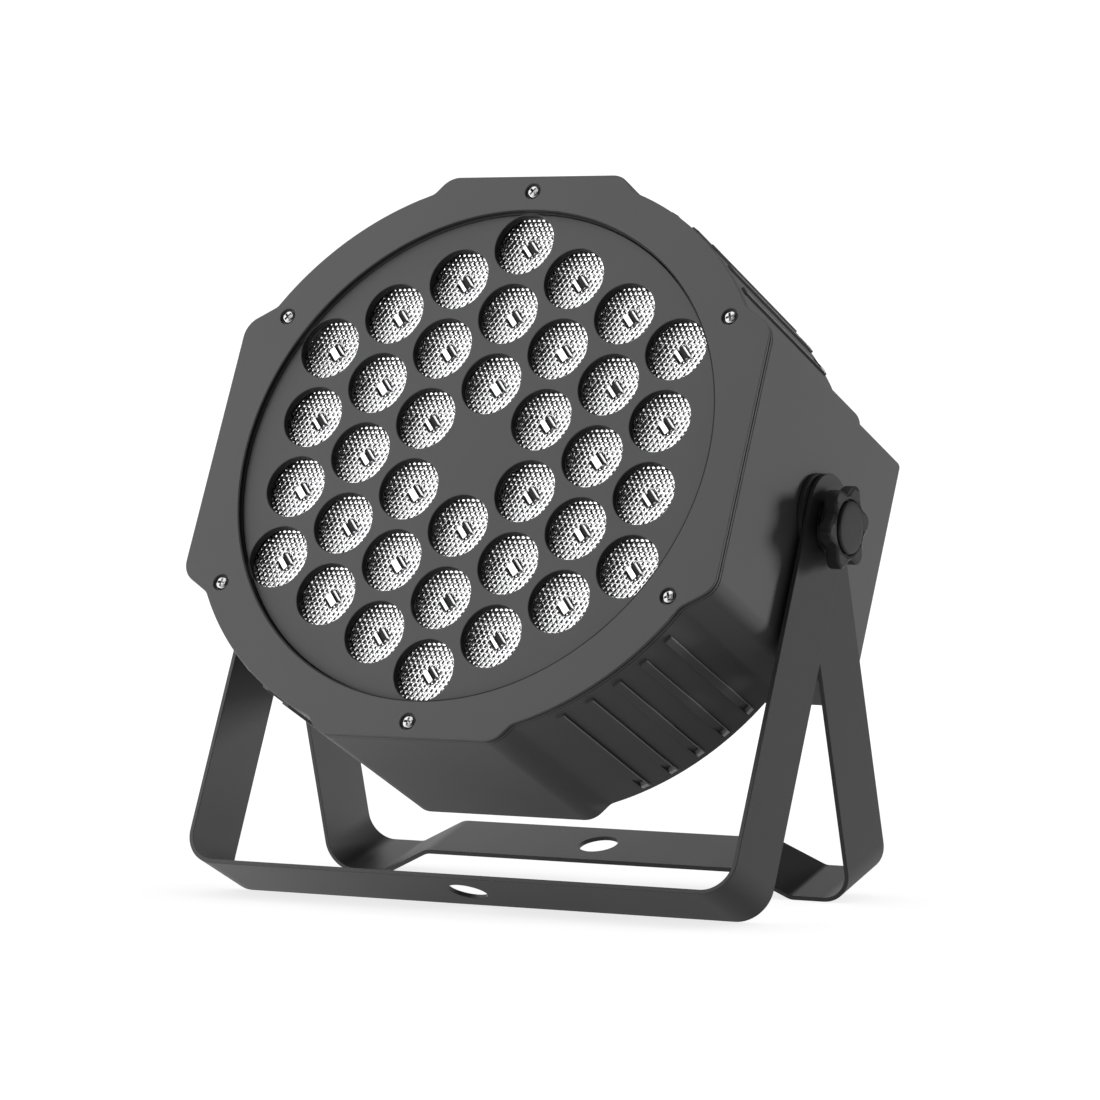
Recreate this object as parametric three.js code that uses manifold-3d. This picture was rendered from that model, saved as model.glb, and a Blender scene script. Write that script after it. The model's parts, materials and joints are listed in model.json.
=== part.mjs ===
// A flat stage par light on a folding double yoke: thirty-six lenses in a shallow round-shouldered housing.
// Millimetres, +Z up, the lamp shines towards -Y and up. The origin is the middle of the foot of the whole object.
// Head frame: x across, y up along the face, z out of the face, with 0 on the tilt axis.
// Yoke frames: x across, y up the arms, z across the strap, with 0 on the tilt axis.
import * as THREE from "three";
import { mergeVertices } from "three/addons/utils/BufferGeometryUtils.js";
import Module from "manifold-3d";

const wasm = await Module();
wasm.setup();

// ---- Driving dimensions -------------------------------------------------------------------------
const headTilt = 25.2; // degrees that the lamp looks up
const outerLean = 24.5; // degrees that the outer yoke leans from upright

// Outline of the head
const halfWidth = 100.2; // to the flat side cheeks
const halfHeight = 100.2; // to the flat top and bottom
const shoulderRadius = 100; // the four round shoulders
const shoulderShift = 4.1; // each shoulder's centre, towards its own side
const topFlat = 33.1; // half length of the top flat, to its sharp corner
const topSlope = 51; // degrees down from the top flat to the shoulder
const sideFlat = 45.7; // half length of the side flat, to its sharp corner
const sideSlope = 31.1; // degrees that the side corner rises towards the shoulder
const cornerRadius = 8;
const filletRadius = 4;

// Depths along the head's z
const faceFront = 57.7;
const frameThickness = 2.6;
const maskRecess = 2.2;
const maskThickness = 3;
const lensRecess = 3.5; // lens rims behind the mask's face
const drumBack = -15.1;
const humpBack = -49.7;
const humpHalf = 44.2; // half height of the rear hump
const wall = 2.4;
const panelRecess = 3;
const panelThickness = 1.5;

// Lens field
const lensPitch = 25.4;
const lensRings = 3;
const lensBridge = 3.5; // mask left between two holes
const lensFoot = 5; // radius where a lens meets its chip
const lensHeight = 13.8;
const webThickness = 2;
const webDepth = 4; // web's front behind the lens rims
const postRadius = 2;
const maskRadius = 87;
const chipSize = 4.9;
const chipHeight = 1.2;
const boardThickness = 1.6;
const boardRadius = 82;

// Heat sink
const sinkRadius = 84;
const sinkPlate = 3;
const finDepth = 17.7;
const finThickness = 2;
const finPitch = 11;
const finCount = 11;
const finField = 72; // radius that the fins stay within
const sinkPostSpan = 55.2; // fixing posts, across and up
const sinkPostRadius = 4.5;

// Ribs on the shoulders
const ribFirst = 37.3; // degrees from the side, about the shoulder's centre
const ribPitch = 6.1;
const ribCount = 5;
const ribHeight = 1;
const ribWidth = 3;
const ribFront = 51.5;
const ribBack = -12;

// Yokes
const strapWidth = 28;
const strapThickness = 1.5;
const strapOver = 3.8; // middle of a strap's round end above the tilt axis
const outerLength = 131.7; // tilt axis to the underside of the base
const innerShort = 4.8; // how much nearer the axis the inner base lies
const innerRaise = 8.7; // middle of the inner base above its feet
const footOuter = 79;
const footInner = 61;
const outerBend = 11.5;
const innerBend = 10.7;
const joggleBend = 6;
const clampHoleRadius = 6.75;

// Clamp knobs
const studRadius = 4;
const studLength = 26.5;
const washerRadius = 8.5;
const washerThickness = 1;
const hubRadius = 9;
const hubLength = 2;
const starRadius = 12.7; // middle of the lobes' wave
const starWave = 1.8;
const starLobes = 6;
const starLength = 4.8;
const capRadius = 8.8;
const capProud = 1;
const capSeat = 1;
const insertRadius = 7;
const insertLength = 9.5;
const bossRadius = 10.5;

// Screws
const screwRadius = 1.5;
const screwHead = 2.6;
const screwHeadHeight = 1.2;
const frontScrewLength = 14;
const shortScrewLength = 8;
const driverScrewLength = 3.6;
const frontScrewReach = 97.4; // side front screws from the middle
const frontScrewAngle = 30;
const frontScrewTop = 94.7;
const sinkBore = 1.3; // head's top below the frame's face is the bore less the head

// Rear panel, fan and sockets, as they lie on the panel
const fanSize = 60;
const fanDepth = 15;
const fanBore = 28.7;
const fanHub = 12.5;
const fanBlades = 7;
const fanScrewSpan = 25;
const slotWidth = 2.4;
const slotPitch = 5.4;
const slotCount = 9;
const rearScrewX = 93.2;
const rearScrewY = 37.3;
const inletAt = [-62, 18];
const inletSize = [27, 20];
const inletDepth = 22;
const inletFlange = 1.7;
const fuseAt = [-62, -20];
const fuseRadius = 6;
const fuseCap = 7.5;
const dmxAt = [
  [49, -23.5],
  [75.5, -23.5],
];
const dmxRadius = 10.5;
const dmxFlange = [25, 27];
const dmxDepth = 20;
const windowAt = [63, 22];
const windowSize = [35.4, 13.4];
const buttonsY = 3;
const buttonsX = [47, 57.7, 68.3, 79];
const buttonNames = ["menu", "up", "down", "enter"];
const buttonRadius = 2.8;
const buttonProud = 1.9;
const buttonTravel = 0.6;
const switchHalf = 3;
const switchHeight = 3.5;
const controlBoardX = [36, 88];
const controlBoardY = [-5, 33];
const controlBoardDepth = 8.2; // board's back behind the panel's front
const driverBoardX = [-78, -34];
const driverBoardY = 49.5;
const driverPostHeight = 2.4;
const mainsLeadRadius = 1.8;
const ledLeadRadius = 1.6;
const driverPosts = [
  [-70, 46.5],
  [-42, -46.5],
];

// Clearances
const gap = 0.3; // between pieces that touch
const runGap = 0.3; // round a shank, stud or plunger in its hole

// ---- Worked out ---------------------------------------------------------------------------------
const deg = Math.PI / 180;
const half = strapWidth / 2;
const innerLength = outerLength - innerShort;
const axisHeight = outerLength * Math.cos(outerLean * deg) + half * Math.sin(outerLean * deg);
// The inner yoke leans until its front edge meets the floor that the outer yoke's rear edge stands on.
const innerLean =
  Math.atan2(half, innerLength) / deg + Math.acos(axisHeight / Math.hypot(innerLength, half)) / deg;
const innerStrapIn = halfWidth + gap;
const innerStrapOut = innerStrapIn + strapThickness;
const outerStrapIn = innerStrapOut + gap;
const outerStrapOut = outerStrapIn + strapThickness;
const housingFront = faceFront - frameThickness - gap;
const maskFace = faceFront - maskRecess;
const maskBack = maskFace - maskThickness;
const lensRim = maskFace - lensRecess;
const lensFootZ = lensRim - lensHeight;
const webFront = lensRim - webDepth;
const chipTop = lensFootZ - gap;
const boardTop = chipTop - chipHeight;
const boardBack = boardTop - boardThickness;
const sinkTop = boardBack - gap;
const sinkBack = sinkTop - sinkPlate;
const postTop = sinkBack - gap;
const wallFront = drumBack + wall;
const panelBack = humpBack + panelRecess;
const panelFront = panelBack + panelThickness;
const driverBack = wallFront + driverPostHeight + gap;
const driverTop = driverBack + boardThickness;
const rootThree = Math.sqrt(3);
const lensHoleRadius = (lensPitch - lensBridge) / 2;

// ---- Materials ----------------------------------------------------------------------------------
const finish = (color, roughness, metalness = 0) =>
  new THREE.MeshStandardMaterial({ color, roughness, metalness });
const housingPlastic = finish(0x4a4a4b, 0.6);
const yokePaint = finish(0x3c3c3d, 0.5, 0.1);
const knobPlastic = finish(0x1f1f20, 0.4);
const chrome = finish(0xc4c4c8, 0.25, 1);
const zinc = finish(0x9b9da0, 0.4, 1);
const lensClear = finish(0xe9ecef, 0.1);
const aluminium = finish(0xb5b7ba, 0.45, 1);
const boardWhite = finish(0xe4e4df, 0.6);
const boardGreen = finish(0x1d5a35, 0.55);
const panelPaint = finish(0x2c2c2d, 0.55, 0.1);
const socketPlastic = finish(0x18181a, 0.45);
const windowTint = finish(0x5a1212, 0.15);
const fanPlastic = finish(0x202022, 0.5);
const leadSleeve = finish(0x26262a, 0.6);
const brass = finish(0xb0904e, 0.35, 1);

// ---- Shape helpers ------------------------------------------------------------------------------
function solid(geometry) {
  const bare = new THREE.BufferGeometry().setAttribute("position", geometry.getAttribute("position"));
  if (geometry.index) bare.setIndex(geometry.index);
  const merged = mergeVertices(bare, 1e-4);
  const kept = [];
  const index = merged.index.array;
  for (let i = 0; i < index.length; i += 3) {
    const [a, b, c] = [index[i], index[i + 1], index[i + 2]];
    if (a !== b && b !== c && c !== a) kept.push(a, b, c);
  }
  return new wasm.Manifold(
    new wasm.Mesh({
      numProp: 3,
      vertProperties: merged.attributes.position.array,
      triVerts: new Uint32Array(kept),
    }),
  );
}

function named(name, shape, material) {
  const mesh = shape.getMesh();
  const geometry = new THREE.BufferGeometry();
  geometry.setAttribute("position", new THREE.BufferAttribute(mesh.vertProperties, 3));
  geometry.setIndex(new THREE.BufferAttribute(mesh.triVerts, 1));
  geometry.computeVertexNormals();
  const made = new THREE.Mesh(geometry, material);
  made.name = name;
  return made;
}

const joined = (shapes) => shapes.reduce((all, one) => all.add(one));
const cutBy = (shape, tools) => tools.reduce((left, tool) => left.subtract(tool), shape);

// A block between two corners.
function block(x0, x1, y0, y1, z0, z1) {
  const size = [x1 - x0, y1 - y0, z1 - z0];
  const middle = [(x0 + x1) / 2, (y0 + y1) / 2, (z0 + z1) / 2];
  return solid(new THREE.BoxGeometry(...size).translate(...middle));
}

// A round bar along z.
function rod(radius, z0, z1, x = 0, y = 0, sides = 12) {
  const bar = new THREE.CylinderGeometry(radius, radius, z1 - z0, sides).rotateX(Math.PI / 2);
  return solid(bar.translate(x, y, (z0 + z1) / 2));
}

// A round bar along x.
function rodX(radius, x0, x1, sides = 16, y = 0) {
  const bar = new THREE.CylinderGeometry(radius, radius, Math.abs(x1 - x0), sides).rotateZ(Math.PI / 2);
  return solid(bar.translate((x0 + x1) / 2, y, 0));
}

// A shape turned about z from (radius, z) points, listed upwards along its outside.
function turned(profile, x = 0, y = 0, sides = 16) {
  const points = profile.map(([radius, height]) => new THREE.Vector2(radius, height));
  return solid(new THREE.LatheGeometry(points, sides).rotateX(Math.PI / 2).translate(x, y, 0));
}

const plateGeometry = (points, z0, z1) =>
  new THREE.ExtrudeGeometry(new THREE.Shape(points), {
    depth: z1 - z0,
    bevelEnabled: false,
  }).translate(0, 0, z0);
const plate = (points, z0, z1) => solid(plateGeometry(points, z0, z1));

function tube(points, radius, steps, sides = 8) {
  const ring = [];
  for (let i = 0; i < sides; i++) {
    const angle = (2 * Math.PI * i) / sides;
    ring.push(new THREE.Vector2(radius * Math.cos(angle), radius * Math.sin(angle)));
  }
  const path = new THREE.CatmullRomCurve3(points.map((p) => new THREE.Vector3(...p)));
  return solid(new THREE.ExtrudeGeometry(new THREE.Shape(ring), { extrudePath: path, steps }));
}

// Points of a corner rounded to a radius, between its two neighbours.
function roundedCorner(before, corner, after, radius, steps) {
  const back = before.clone().sub(corner).normalize();
  const on = after.clone().sub(corner).normalize();
  const opening = Math.acos(THREE.MathUtils.clamp(back.dot(on), -1, 1));
  const reach = radius / Math.tan(opening / 2);
  const centre = back
    .clone()
    .add(on)
    .normalize()
    .multiplyScalar(radius / Math.sin(opening / 2))
    .add(corner);
  const start = corner.clone().addScaledVector(back, reach).sub(centre);
  const end = corner.clone().addScaledVector(on, reach).sub(centre);
  const from = start.angle();
  let sweep = end.angle() - from;
  if (sweep > Math.PI) sweep -= 2 * Math.PI;
  if (sweep < -Math.PI) sweep += 2 * Math.PI;
  const points = [];
  for (let i = 0; i <= steps; i++) {
    const angle = from + (sweep * i) / steps;
    points.push(
      new THREE.Vector2(centre.x + radius * Math.cos(angle), centre.y + radius * Math.sin(angle)),
    );
  }
  return points;
}

// A closed outline moved inwards, for points that run anticlockwise.
function inset(points, distance) {
  return points.map((point, i) => {
    const before = points[(i + points.length - 1) % points.length];
    const after = points[(i + 1) % points.length];
    const a = point.clone().sub(before).normalize();
    const b = after.clone().sub(point).normalize();
    const inward = new THREE.Vector2(-a.y - b.y, a.x + b.x).normalize();
    const share = inward.dot(new THREE.Vector2(-a.y, a.x));
    return point.clone().addScaledVector(inward, distance / share);
  });
}

// ---- The head's outline -------------------------------------------------------------------------
// One quarter runs from the side flat over the shoulder to the top flat, and the other three mirror it.
function headQuarter() {
  const sideCorner = new THREE.Vector2(halfWidth, sideFlat);
  const topCorner = new THREE.Vector2(topFlat, halfHeight);
  const onShoulder = (angle) =>
    new THREE.Vector2(
      shoulderShift + shoulderRadius * Math.cos(angle),
      shoulderRadius * Math.sin(angle),
    );
  // Where a straight slope from a corner meets the shoulder.
  const meet = (corner, direction) => {
    const from = corner.clone().sub(new THREE.Vector2(shoulderShift, 0));
    const along = from.dot(direction);
    const reach = -along - Math.sqrt(along * along - from.lengthSq() + shoulderRadius ** 2);
    return from.addScaledVector(direction, reach).angle();
  };
  const sideWay = new THREE.Vector2(-Math.cos(sideSlope * deg), Math.sin(sideSlope * deg));
  const topWay = new THREE.Vector2(Math.cos(topSlope * deg), -Math.sin(topSlope * deg));
  const start = meet(sideCorner, sideWay);
  const end = meet(topCorner, topWay);
  const arcSteps = 7;
  const arc = [];
  for (let i = 0; i <= arcSteps; i++) arc.push(onShoulder(start + ((end - start) * i) / arcSteps));
  const last = arc.length - 1;
  const sideFoot = new THREE.Vector2(halfWidth, 0);
  const topMiddle = new THREE.Vector2(0, halfHeight);
  return [
    ...roundedCorner(sideFoot, sideCorner, arc[0], cornerRadius, 3),
    ...roundedCorner(sideCorner, arc[0], arc[1], filletRadius, 2),
    ...arc.slice(1, last),
    ...roundedCorner(arc[last - 1], arc[last], topCorner, filletRadius, 2),
    ...roundedCorner(arc[last], topCorner, topMiddle, cornerRadius, 3),
  ];
}

function headOutline() {
  const quarter = headQuarter();
  const reversed = [...quarter].reverse();
  const flip = (points, sx, sy) => points.map((p) => new THREE.Vector2(p.x * sx, p.y * sy));
  return [
    ...quarter,
    ...flip(reversed, -1, 1),
    ...flip(quarter, -1, -1),
    ...flip(reversed, 1, -1),
  ];
}
const outline = headOutline();

// ---- Places that repeat -------------------------------------------------------------------------
const lensPlaces = [];
for (let i = -lensRings; i <= lensRings; i++)
  for (let j = -lensRings; j <= lensRings; j++)
    if (Math.abs(i + j) <= lensRings && (i || j))
      lensPlaces.push([(j * lensPitch * rootThree) / 2, (i + j / 2) * lensPitch]);
const cornerLenses = [0, 1, 2, 3, 4, 5].map((k) => {
  const angle = (30 + 60 * k) * deg;
  const reach = lensRings * lensPitch;
  return [reach * Math.cos(angle), reach * Math.sin(angle)];
});
const fourOf = (x, y) => [
  [x, y],
  [-x, y],
  [-x, -y],
  [x, -y],
];
const frontScrews = [
  ...fourOf(
    frontScrewReach * Math.cos(frontScrewAngle * deg),
    frontScrewReach * Math.sin(frontScrewAngle * deg),
  ),
  [0, frontScrewTop],
  [0, -frontScrewTop],
];
const rearScrews = fourOf(rearScrewX, rearScrewY);
const sinkPosts = fourOf(sinkPostSpan, sinkPostSpan);
const fanScrews = fourOf(fanScrewSpan, fanScrewSpan);

// ---- Head pieces --------------------------------------------------------------------------------
function frontFrame() {
  const collarWall = 2;
  const ledgeReach = 3.4;
  const ledgeThickness = 1.7;
  const ledgeTop = maskBack - gap;
  const inner = maskRadius + gap + 0.1;
  const ledgeBack = ledgeTop - ledgeThickness;
  const hole = rod(inner, ledgeBack - 1, faceFront + 1, 0, 0, 40);
  const collar = rod(inner + collarWall, ledgeBack, faceFront - 0.5, 0, 0, 40);
  const ledge = rod(inner + collarWall / 2, ledgeBack, ledgeTop, 0, 0, 40);
  const through = rod(inner - ledgeReach, ledgeBack - 1, faceFront + 1, 0, 0, 40);
  const scallops = cornerLenses.map(([x, y]) =>
    rod(lensHoleRadius + gap, ledgeBack - 1, ledgeTop + 1, x, y, 12),
  );
  const ring = cutBy(plate(outline, faceFront - frameThickness, faceFront).add(collar), [hole]);
  const shelf = cutBy(ledge.subtract(through), scallops);
  const screwHoles = frontScrews.flatMap(([x, y]) => [
    rod(screwRadius + runGap, faceFront - 10, faceFront + 1, x, y, 12),
    rod(screwHead + runGap, faceFront - sinkBore, faceFront + 1, x, y, 16),
  ]);
  return cutBy(ring.add(shelf), screwHoles);
}

// A pan-head screw, its head seated at z and pointing up or down, with a cross recess where it shows.
function screw(x, y, seat, length, up, recessed) {
  const top = screwHeadHeight;
  const body = turned(
    [
      [0, -length],
      [screwRadius, -length],
      [screwRadius, 0],
      [screwHead, 0],
      [screwHead, top * 0.5],
      [screwHead * 0.6, top],
      [0, top],
    ],
    0,
    0,
    8,
  );
  const slotHalf = screwHead * 0.13;
  const slotReach = screwHead * 0.6;
  const slotFloor = top * 0.45;
  const cross = [
    block(-slotReach, slotReach, -slotHalf, slotHalf, slotFloor, top + 1),
    block(-slotHalf, slotHalf, -slotReach, slotReach, slotFloor, top + 1),
  ];
  const made = new THREE.Group();
  made.position.set(x, y, seat);
  if (up < 0) made.rotation.x = Math.PI;
  return { group: made, shape: recessed ? cutBy(body, cross) : body };
}

function lensMask() {
  const holes = lensPlaces.map(([x, y]) => rod(lensHoleRadius, maskBack - 1, maskFace + 1, x, y, 12));
  return cutBy(rod(maskRadius, maskBack, maskFace, 0, 0, 40), holes);
}

function lensArray() {
  const rim = lensHoleRadius - gap - 0.1;
  const shoulder = webFront - webThickness;
  const lenses = lensPlaces.map(([x, y]) =>
    turned(
      [
        [0, lensFootZ],
        [lensFoot, lensFootZ],
        [rim, shoulder],
        [rim, lensRim],
        [0, lensRim],
      ],
      x,
      y,
      8,
    ),
  );
  const web = rod(maskRadius - 1, shoulder, webFront, 0, 0, 36);
  // Each post stands in the middle of three lenses.
  const posts = [60, 180, 300].map((angle) => {
    const reach = (2 * lensPitch) / rootThree;
    const [x, y] = [reach * Math.cos(angle * deg), reach * Math.sin(angle * deg)];
    return rod(postRadius, boardTop + gap, shoulder + 0.5, x, y, 8);
  });
  return joined([web, ...lenses, ...posts]);
}

function ledBoard() {
  const s = chipSize / 2;
  const chips = lensPlaces.map(([x, y]) =>
    block(x - s, x + s, y - s, y + s, boardTop - 0.5, chipTop),
  );
  const holes = sinkPosts.map(([x, y]) =>
    rod(screwRadius + runGap, boardBack - 1, boardTop + 1, x, y, 12),
  );
  return cutBy(joined([rod(boardRadius, boardBack, boardTop, 0, 0, 40), ...chips]), holes);
}

function heatSink() {
  const fins = [];
  for (let i = 0; i < finCount; i++) {
    const x = (i - (finCount - 1) / 2) * finPitch;
    const reach = Math.sqrt(finField ** 2 - x ** 2);
    const side = finThickness / 2;
    fins.push(block(x - side, x + side, -reach, reach, sinkBack - finDepth, sinkBack + 1));
  }
  const holes = sinkPosts.map(([x, y]) =>
    rod(screwRadius + runGap, sinkBack - 1, sinkTop + 1, x, y, 12),
  );
  return cutBy(joined([rod(sinkRadius, sinkBack, sinkTop, 0, 0, 40), ...fins]), holes);
}

function mainHousing() {
  const inner = inset(outline, wall);
  const hump = block(-halfWidth, halfWidth, -humpHalf, humpHalf, humpBack, drumBack + 1);
  const humpInside = block(
    -halfWidth + wall,
    halfWidth - wall,
    -humpHalf + wall,
    humpHalf - wall,
    humpBack - 1,
    drumBack + wall + 1,
  );
  const shell = cutBy(plate(outline, drumBack, housingFront).add(hump), [
    plate(inner, wallFront, housingFront + 1),
    humpInside,
  ]);
  const ribs = [];
  for (let i = 0; i < ribCount; i++)
    for (const side of [1, -1])
      for (const rise of [1, -1]) {
        const bar = new THREE.BoxGeometry(2 * ribHeight, ribWidth, ribFront - ribBack)
          .translate(shoulderRadius, 0, (ribFront + ribBack) / 2)
          .rotateZ((ribFirst + i * ribPitch) * deg)
          .translate(shoulderShift, 0, 0);
        if (side < 0) bar.rotateY(Math.PI).translate(0, 0, ribFront + ribBack);
        if (side * rise < 0) bar.rotateX(Math.PI).translate(0, 0, ribFront + ribBack);
        ribs.push(solid(bar));
      }
  const screwBossWall = 1.5;
  const rearBossRadius = 4.6;
  const driverSeatRadius = 3.4;
  const screwBosses = frontScrews.map(([x, y]) =>
    rod(screwHead + screwBossWall, housingFront - 1.5 * frontScrewLength, housingFront, x, y, 12),
  );
  const rearBosses = rearScrews.map(([x, y]) =>
    rod(rearBossRadius, panelFront + gap, drumBack + wall, x, y, 12),
  );
  const posts = sinkPosts.map(([x, y]) => rod(sinkPostRadius, wallFront - 0.5, postTop, x, y, 12));
  const driverSeats = driverPosts.map(([x, y]) =>
    rod(driverSeatRadius, wallFront - 0.5, driverBack - gap, x, y, 10),
  );
  const pivotBosses = [1, -1].map((s) =>
    rodX(bossRadius, s * (halfWidth - wall + 0.5), s * (halfWidth - wall - insertLength - 1)),
  );
  const inside = plate(inset(outline, wall / 2), wallFront - 1, housingFront);
  const insideHump = block(
    -halfWidth + wall / 2,
    halfWidth - wall / 2,
    -humpHalf + wall / 2,
    humpHalf - wall / 2,
    humpBack,
    drumBack + wall + 1,
  );
  const fixings = joined([...screwBosses, ...rearBosses, ...posts, ...driverSeats, ...pivotBosses])
    .intersect(inside.add(insideHump));
  const pilot = screwRadius + runGap;
  const cuts = [
    ...frontScrews.map(([x, y]) =>
      rod(pilot, housingFront - frontScrewLength - 1, housingFront + 1, x, y, 10),
    ),
    ...rearScrews.map(([x, y]) => rod(pilot, panelFront, panelFront + shortScrewLength + 1, x, y, 10)),
    ...sinkPosts.map(([x, y]) => rod(pilot, postTop - frontScrewLength, postTop + 1, x, y, 10)),
    ...driverPosts.map(([x, y]) => rod(pilot, wallFront + 0.2, driverBack, x, y, 10)),
    ...[1, -1].flatMap((s) => [
      rodX(studRadius + runGap, s * (halfWidth + 1), s * (halfWidth - 2 * insertLength)),
      rodX(insertRadius + gap, s * (halfWidth - wall - gap), s * (halfWidth - 2 * insertLength), 6),
    ]),
  ];
  return cutBy(joined([shell, ...ribs, fixings]), cuts);
}

function rearPanel() {
  const edgeX = halfWidth - wall - gap;
  const edgeY = humpHalf - wall - gap;
  const sheet = block(-edgeX, edgeX, -edgeY, edgeY, panelBack, panelFront);
  const through = (x, y, w, h) =>
    block(x - w / 2, x + w / 2, y - h / 2, y + h / 2, panelBack - 1, panelFront + 1);
  const hole = (x, y, radius, sides) => rod(radius, panelBack - 1, panelFront + 1, x, y, sides);
  const slots = [];
  for (let i = 0; i < slotCount; i++) {
    const y = (i - (slotCount - 1) / 2) * slotPitch;
    const reach = Math.sqrt(fanBore ** 2 - y ** 2) - 1;
    slots.push(through(0, y, 2 * reach, slotWidth));
  }
  const studRound = 1.8;
  const studs = [];
  for (const x of [controlBoardX[0] + 3.5, controlBoardX[1] - 2])
    for (const y of [controlBoardY[0] + 3, controlBoardY[1] - 3])
      studs.push(rod(studRound, panelFront - 0.5, panelFront + controlBoardDepth - gap, x, y, 8));
  return cutBy(joined([sheet, ...studs]), [
    ...slots,
    through(...inletAt, inletSize[0] + 2 * gap, inletSize[1] + 2 * gap),
    hole(...fuseAt, fuseRadius + gap, 16),
    ...dmxAt.map(([x, y]) => hole(x, y, dmxRadius + gap, 16)),
    through(...windowAt, windowSize[0] + 2 * gap, windowSize[1] + 2 * gap),
    ...buttonsX.map((x) => hole(x, buttonsY, buttonRadius + runGap, 12)),
    ...rearScrews.map(([x, y]) => hole(x, y, screwRadius + runGap, 10)),
    ...fanScrews.map(([x, y]) => hole(x, y, screwRadius + runGap, 10)),
  ]);
}

function powerInlet() {
  const [x, y] = inletAt;
  const [w, h] = inletSize;
  const face = panelBack - gap;
  const box = (wide, high, z0, z1) =>
    block(x - wide / 2, x + wide / 2, y - high / 2, y + high / 2, z0, z1);
  const shellWall = 1.6;
  const well = 16;
  const lip = 2;
  const pinHalf = [1, 2];
  const pinTip = 4;
  const body = box(w, h, face - 0.5, face + inletDepth).add(
    box(w + 2 * lip, h + 2 * lip, face - inletFlange, face),
  );
  const cavity = box(w - 2 * shellWall, h - 2 * shellWall, face - 3, face + well - inletFlange);
  const pins = [
    [-7, -1.8],
    [0, 2.2],
    [7, -1.8],
  ].map(([px, py]) =>
    block(
      x + px - pinHalf[0],
      x + px + pinHalf[0],
      y + py - pinHalf[1],
      y + py + pinHalf[1],
      face + pinTip,
      face + well,
    ),
  );
  return joined([body.subtract(cavity), ...pins]);
}

function fuseHolder() {
  const [x, y] = fuseAt;
  const face = panelBack - gap;
  const capHeight = 2.3;
  const slotHalf = 4;
  const slotDepth = 0.8;
  const bodyLength = 24;
  const cap = face - capHeight;
  const slot = block(x - slotHalf, x + slotHalf, y - 0.6, y + 0.6, cap - 1, cap + slotDepth);
  return joined([
    rod(fuseCap, cap, face, x, y, 20),
    rod(fuseRadius, face - 0.5, face + bodyLength, x, y, 16),
  ]).subtract(slot);
}

// A round signal socket on a square flange: pins in a well, or a face with pin holes.
function dmxSocket([x, y], male) {
  const face = panelBack - gap;
  const [w, h] = dmxFlange;
  const flange = 1.7;
  const wellRadius = 8.6;
  const wellDepth = 13;
  const coreRadius = 7.4;
  const pinCircle = 4.2;
  const pinRadius = 1.1;
  const body = joined([
    rod(dmxRadius, face - 0.5, face + dmxDepth, x, y, 16),
    block(x - w / 2, x + w / 2, y - h / 2, y + h / 2, face - flange, face),
  ]);
  const pinPlaces = [90, 210, 330].map((angle) => [
    x + pinCircle * Math.cos(angle * deg),
    y + pinCircle * Math.sin(angle * deg),
  ]);
  if (!male) {
    const core = rod(coreRadius, face - 4, face + 2, x, y);
    const groove = rod(wellRadius, face - 3, face + 1, x, y).subtract(core);
    const holes = pinPlaces.map(([px, py]) => rod(pinRadius + 0.1, face - 3, face + 10, px, py, 8));
    return cutBy(body, [groove, ...holes]);
  }
  const well = rod(wellRadius, face - 3, face + wellDepth, x, y, 16);
  const pins = pinPlaces.map(([px, py]) => rod(pinRadius, face + 3, face + wellDepth + 1, px, py, 8));
  return joined([body.subtract(well), ...pins]);
}

function displayWindow() {
  const [x, y] = windowAt;
  const [w, h] = windowSize;
  const lip = 1.6;
  return block(x - w / 2, x + w / 2, y - h / 2, y + h / 2, panelBack - 0.4, panelFront + gap + 0.1).add(
    block(
      x - w / 2 - lip,
      x + w / 2 + lip,
      y - h / 2 - lip,
      y + h / 2 + lip,
      panelFront + gap,
      panelFront + gap + 1,
    ),
  );
}

const buttonBack = panelFront + controlBoardDepth - switchHeight - buttonTravel - gap;
function button(x) {
  const flange = panelFront + gap;
  const stem = 1.4;
  return turned(
    [
      [0, panelBack - buttonProud],
      [buttonRadius - 0.5, panelBack - buttonProud],
      [buttonRadius, panelBack - buttonProud + 0.5],
      [buttonRadius, flange],
      [buttonRadius + 1, flange],
      [buttonRadius + 1, flange + 1],
      [stem, flange + 1],
      [stem, buttonBack],
      [0, buttonBack],
    ],
    x,
    buttonsY,
    10,
  );
}

function controlBoard() {
  const back = panelFront + controlBoardDepth;
  const sheet = block(...controlBoardX, ...controlBoardY, back, back + boardThickness);
  const [x, y] = windowAt;
  const [w, h] = windowSize;
  const digits = block(
    x - w / 2 + 1,
    x + w / 2 - 1,
    y - h / 2 + 1,
    y + h / 2 - 1,
    panelFront + 2.5,
    back + 0.5,
  );
  const switches = buttonsX.map((bx) =>
    block(
      bx - switchHalf,
      bx + switchHalf,
      buttonsY - switchHalf,
      buttonsY + switchHalf,
      back - switchHeight,
      back + 0.5,
    ),
  );
  return joined([sheet, digits, ...switches]);
}

function driverBoard() {
  const [back, top] = [driverBack, driverTop];
  const [x0, x1] = driverBoardX;
  const middle = (x0 + x1) / 2;
  const sheet = block(x0, x1, -driverBoardY, driverBoardY, back, top);
  const transformer = block(middle - 12, middle + 12, -32, -6, top - 0.5, top + 15);
  const capacitors = [10, -6].map((x) => rod(6, top - 0.5, top + 14, middle + x, 12, 12));
  const filter = block(middle - 16, middle - 4, 24, 34, top - 0.5, top + 8);
  const holes = driverPosts.map(([x, y]) => rod(screwRadius + runGap, back - 1, top + 1, x, y, 10));
  return cutBy(joined([sheet, transformer, ...capacitors, filter]), holes);
}

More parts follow.
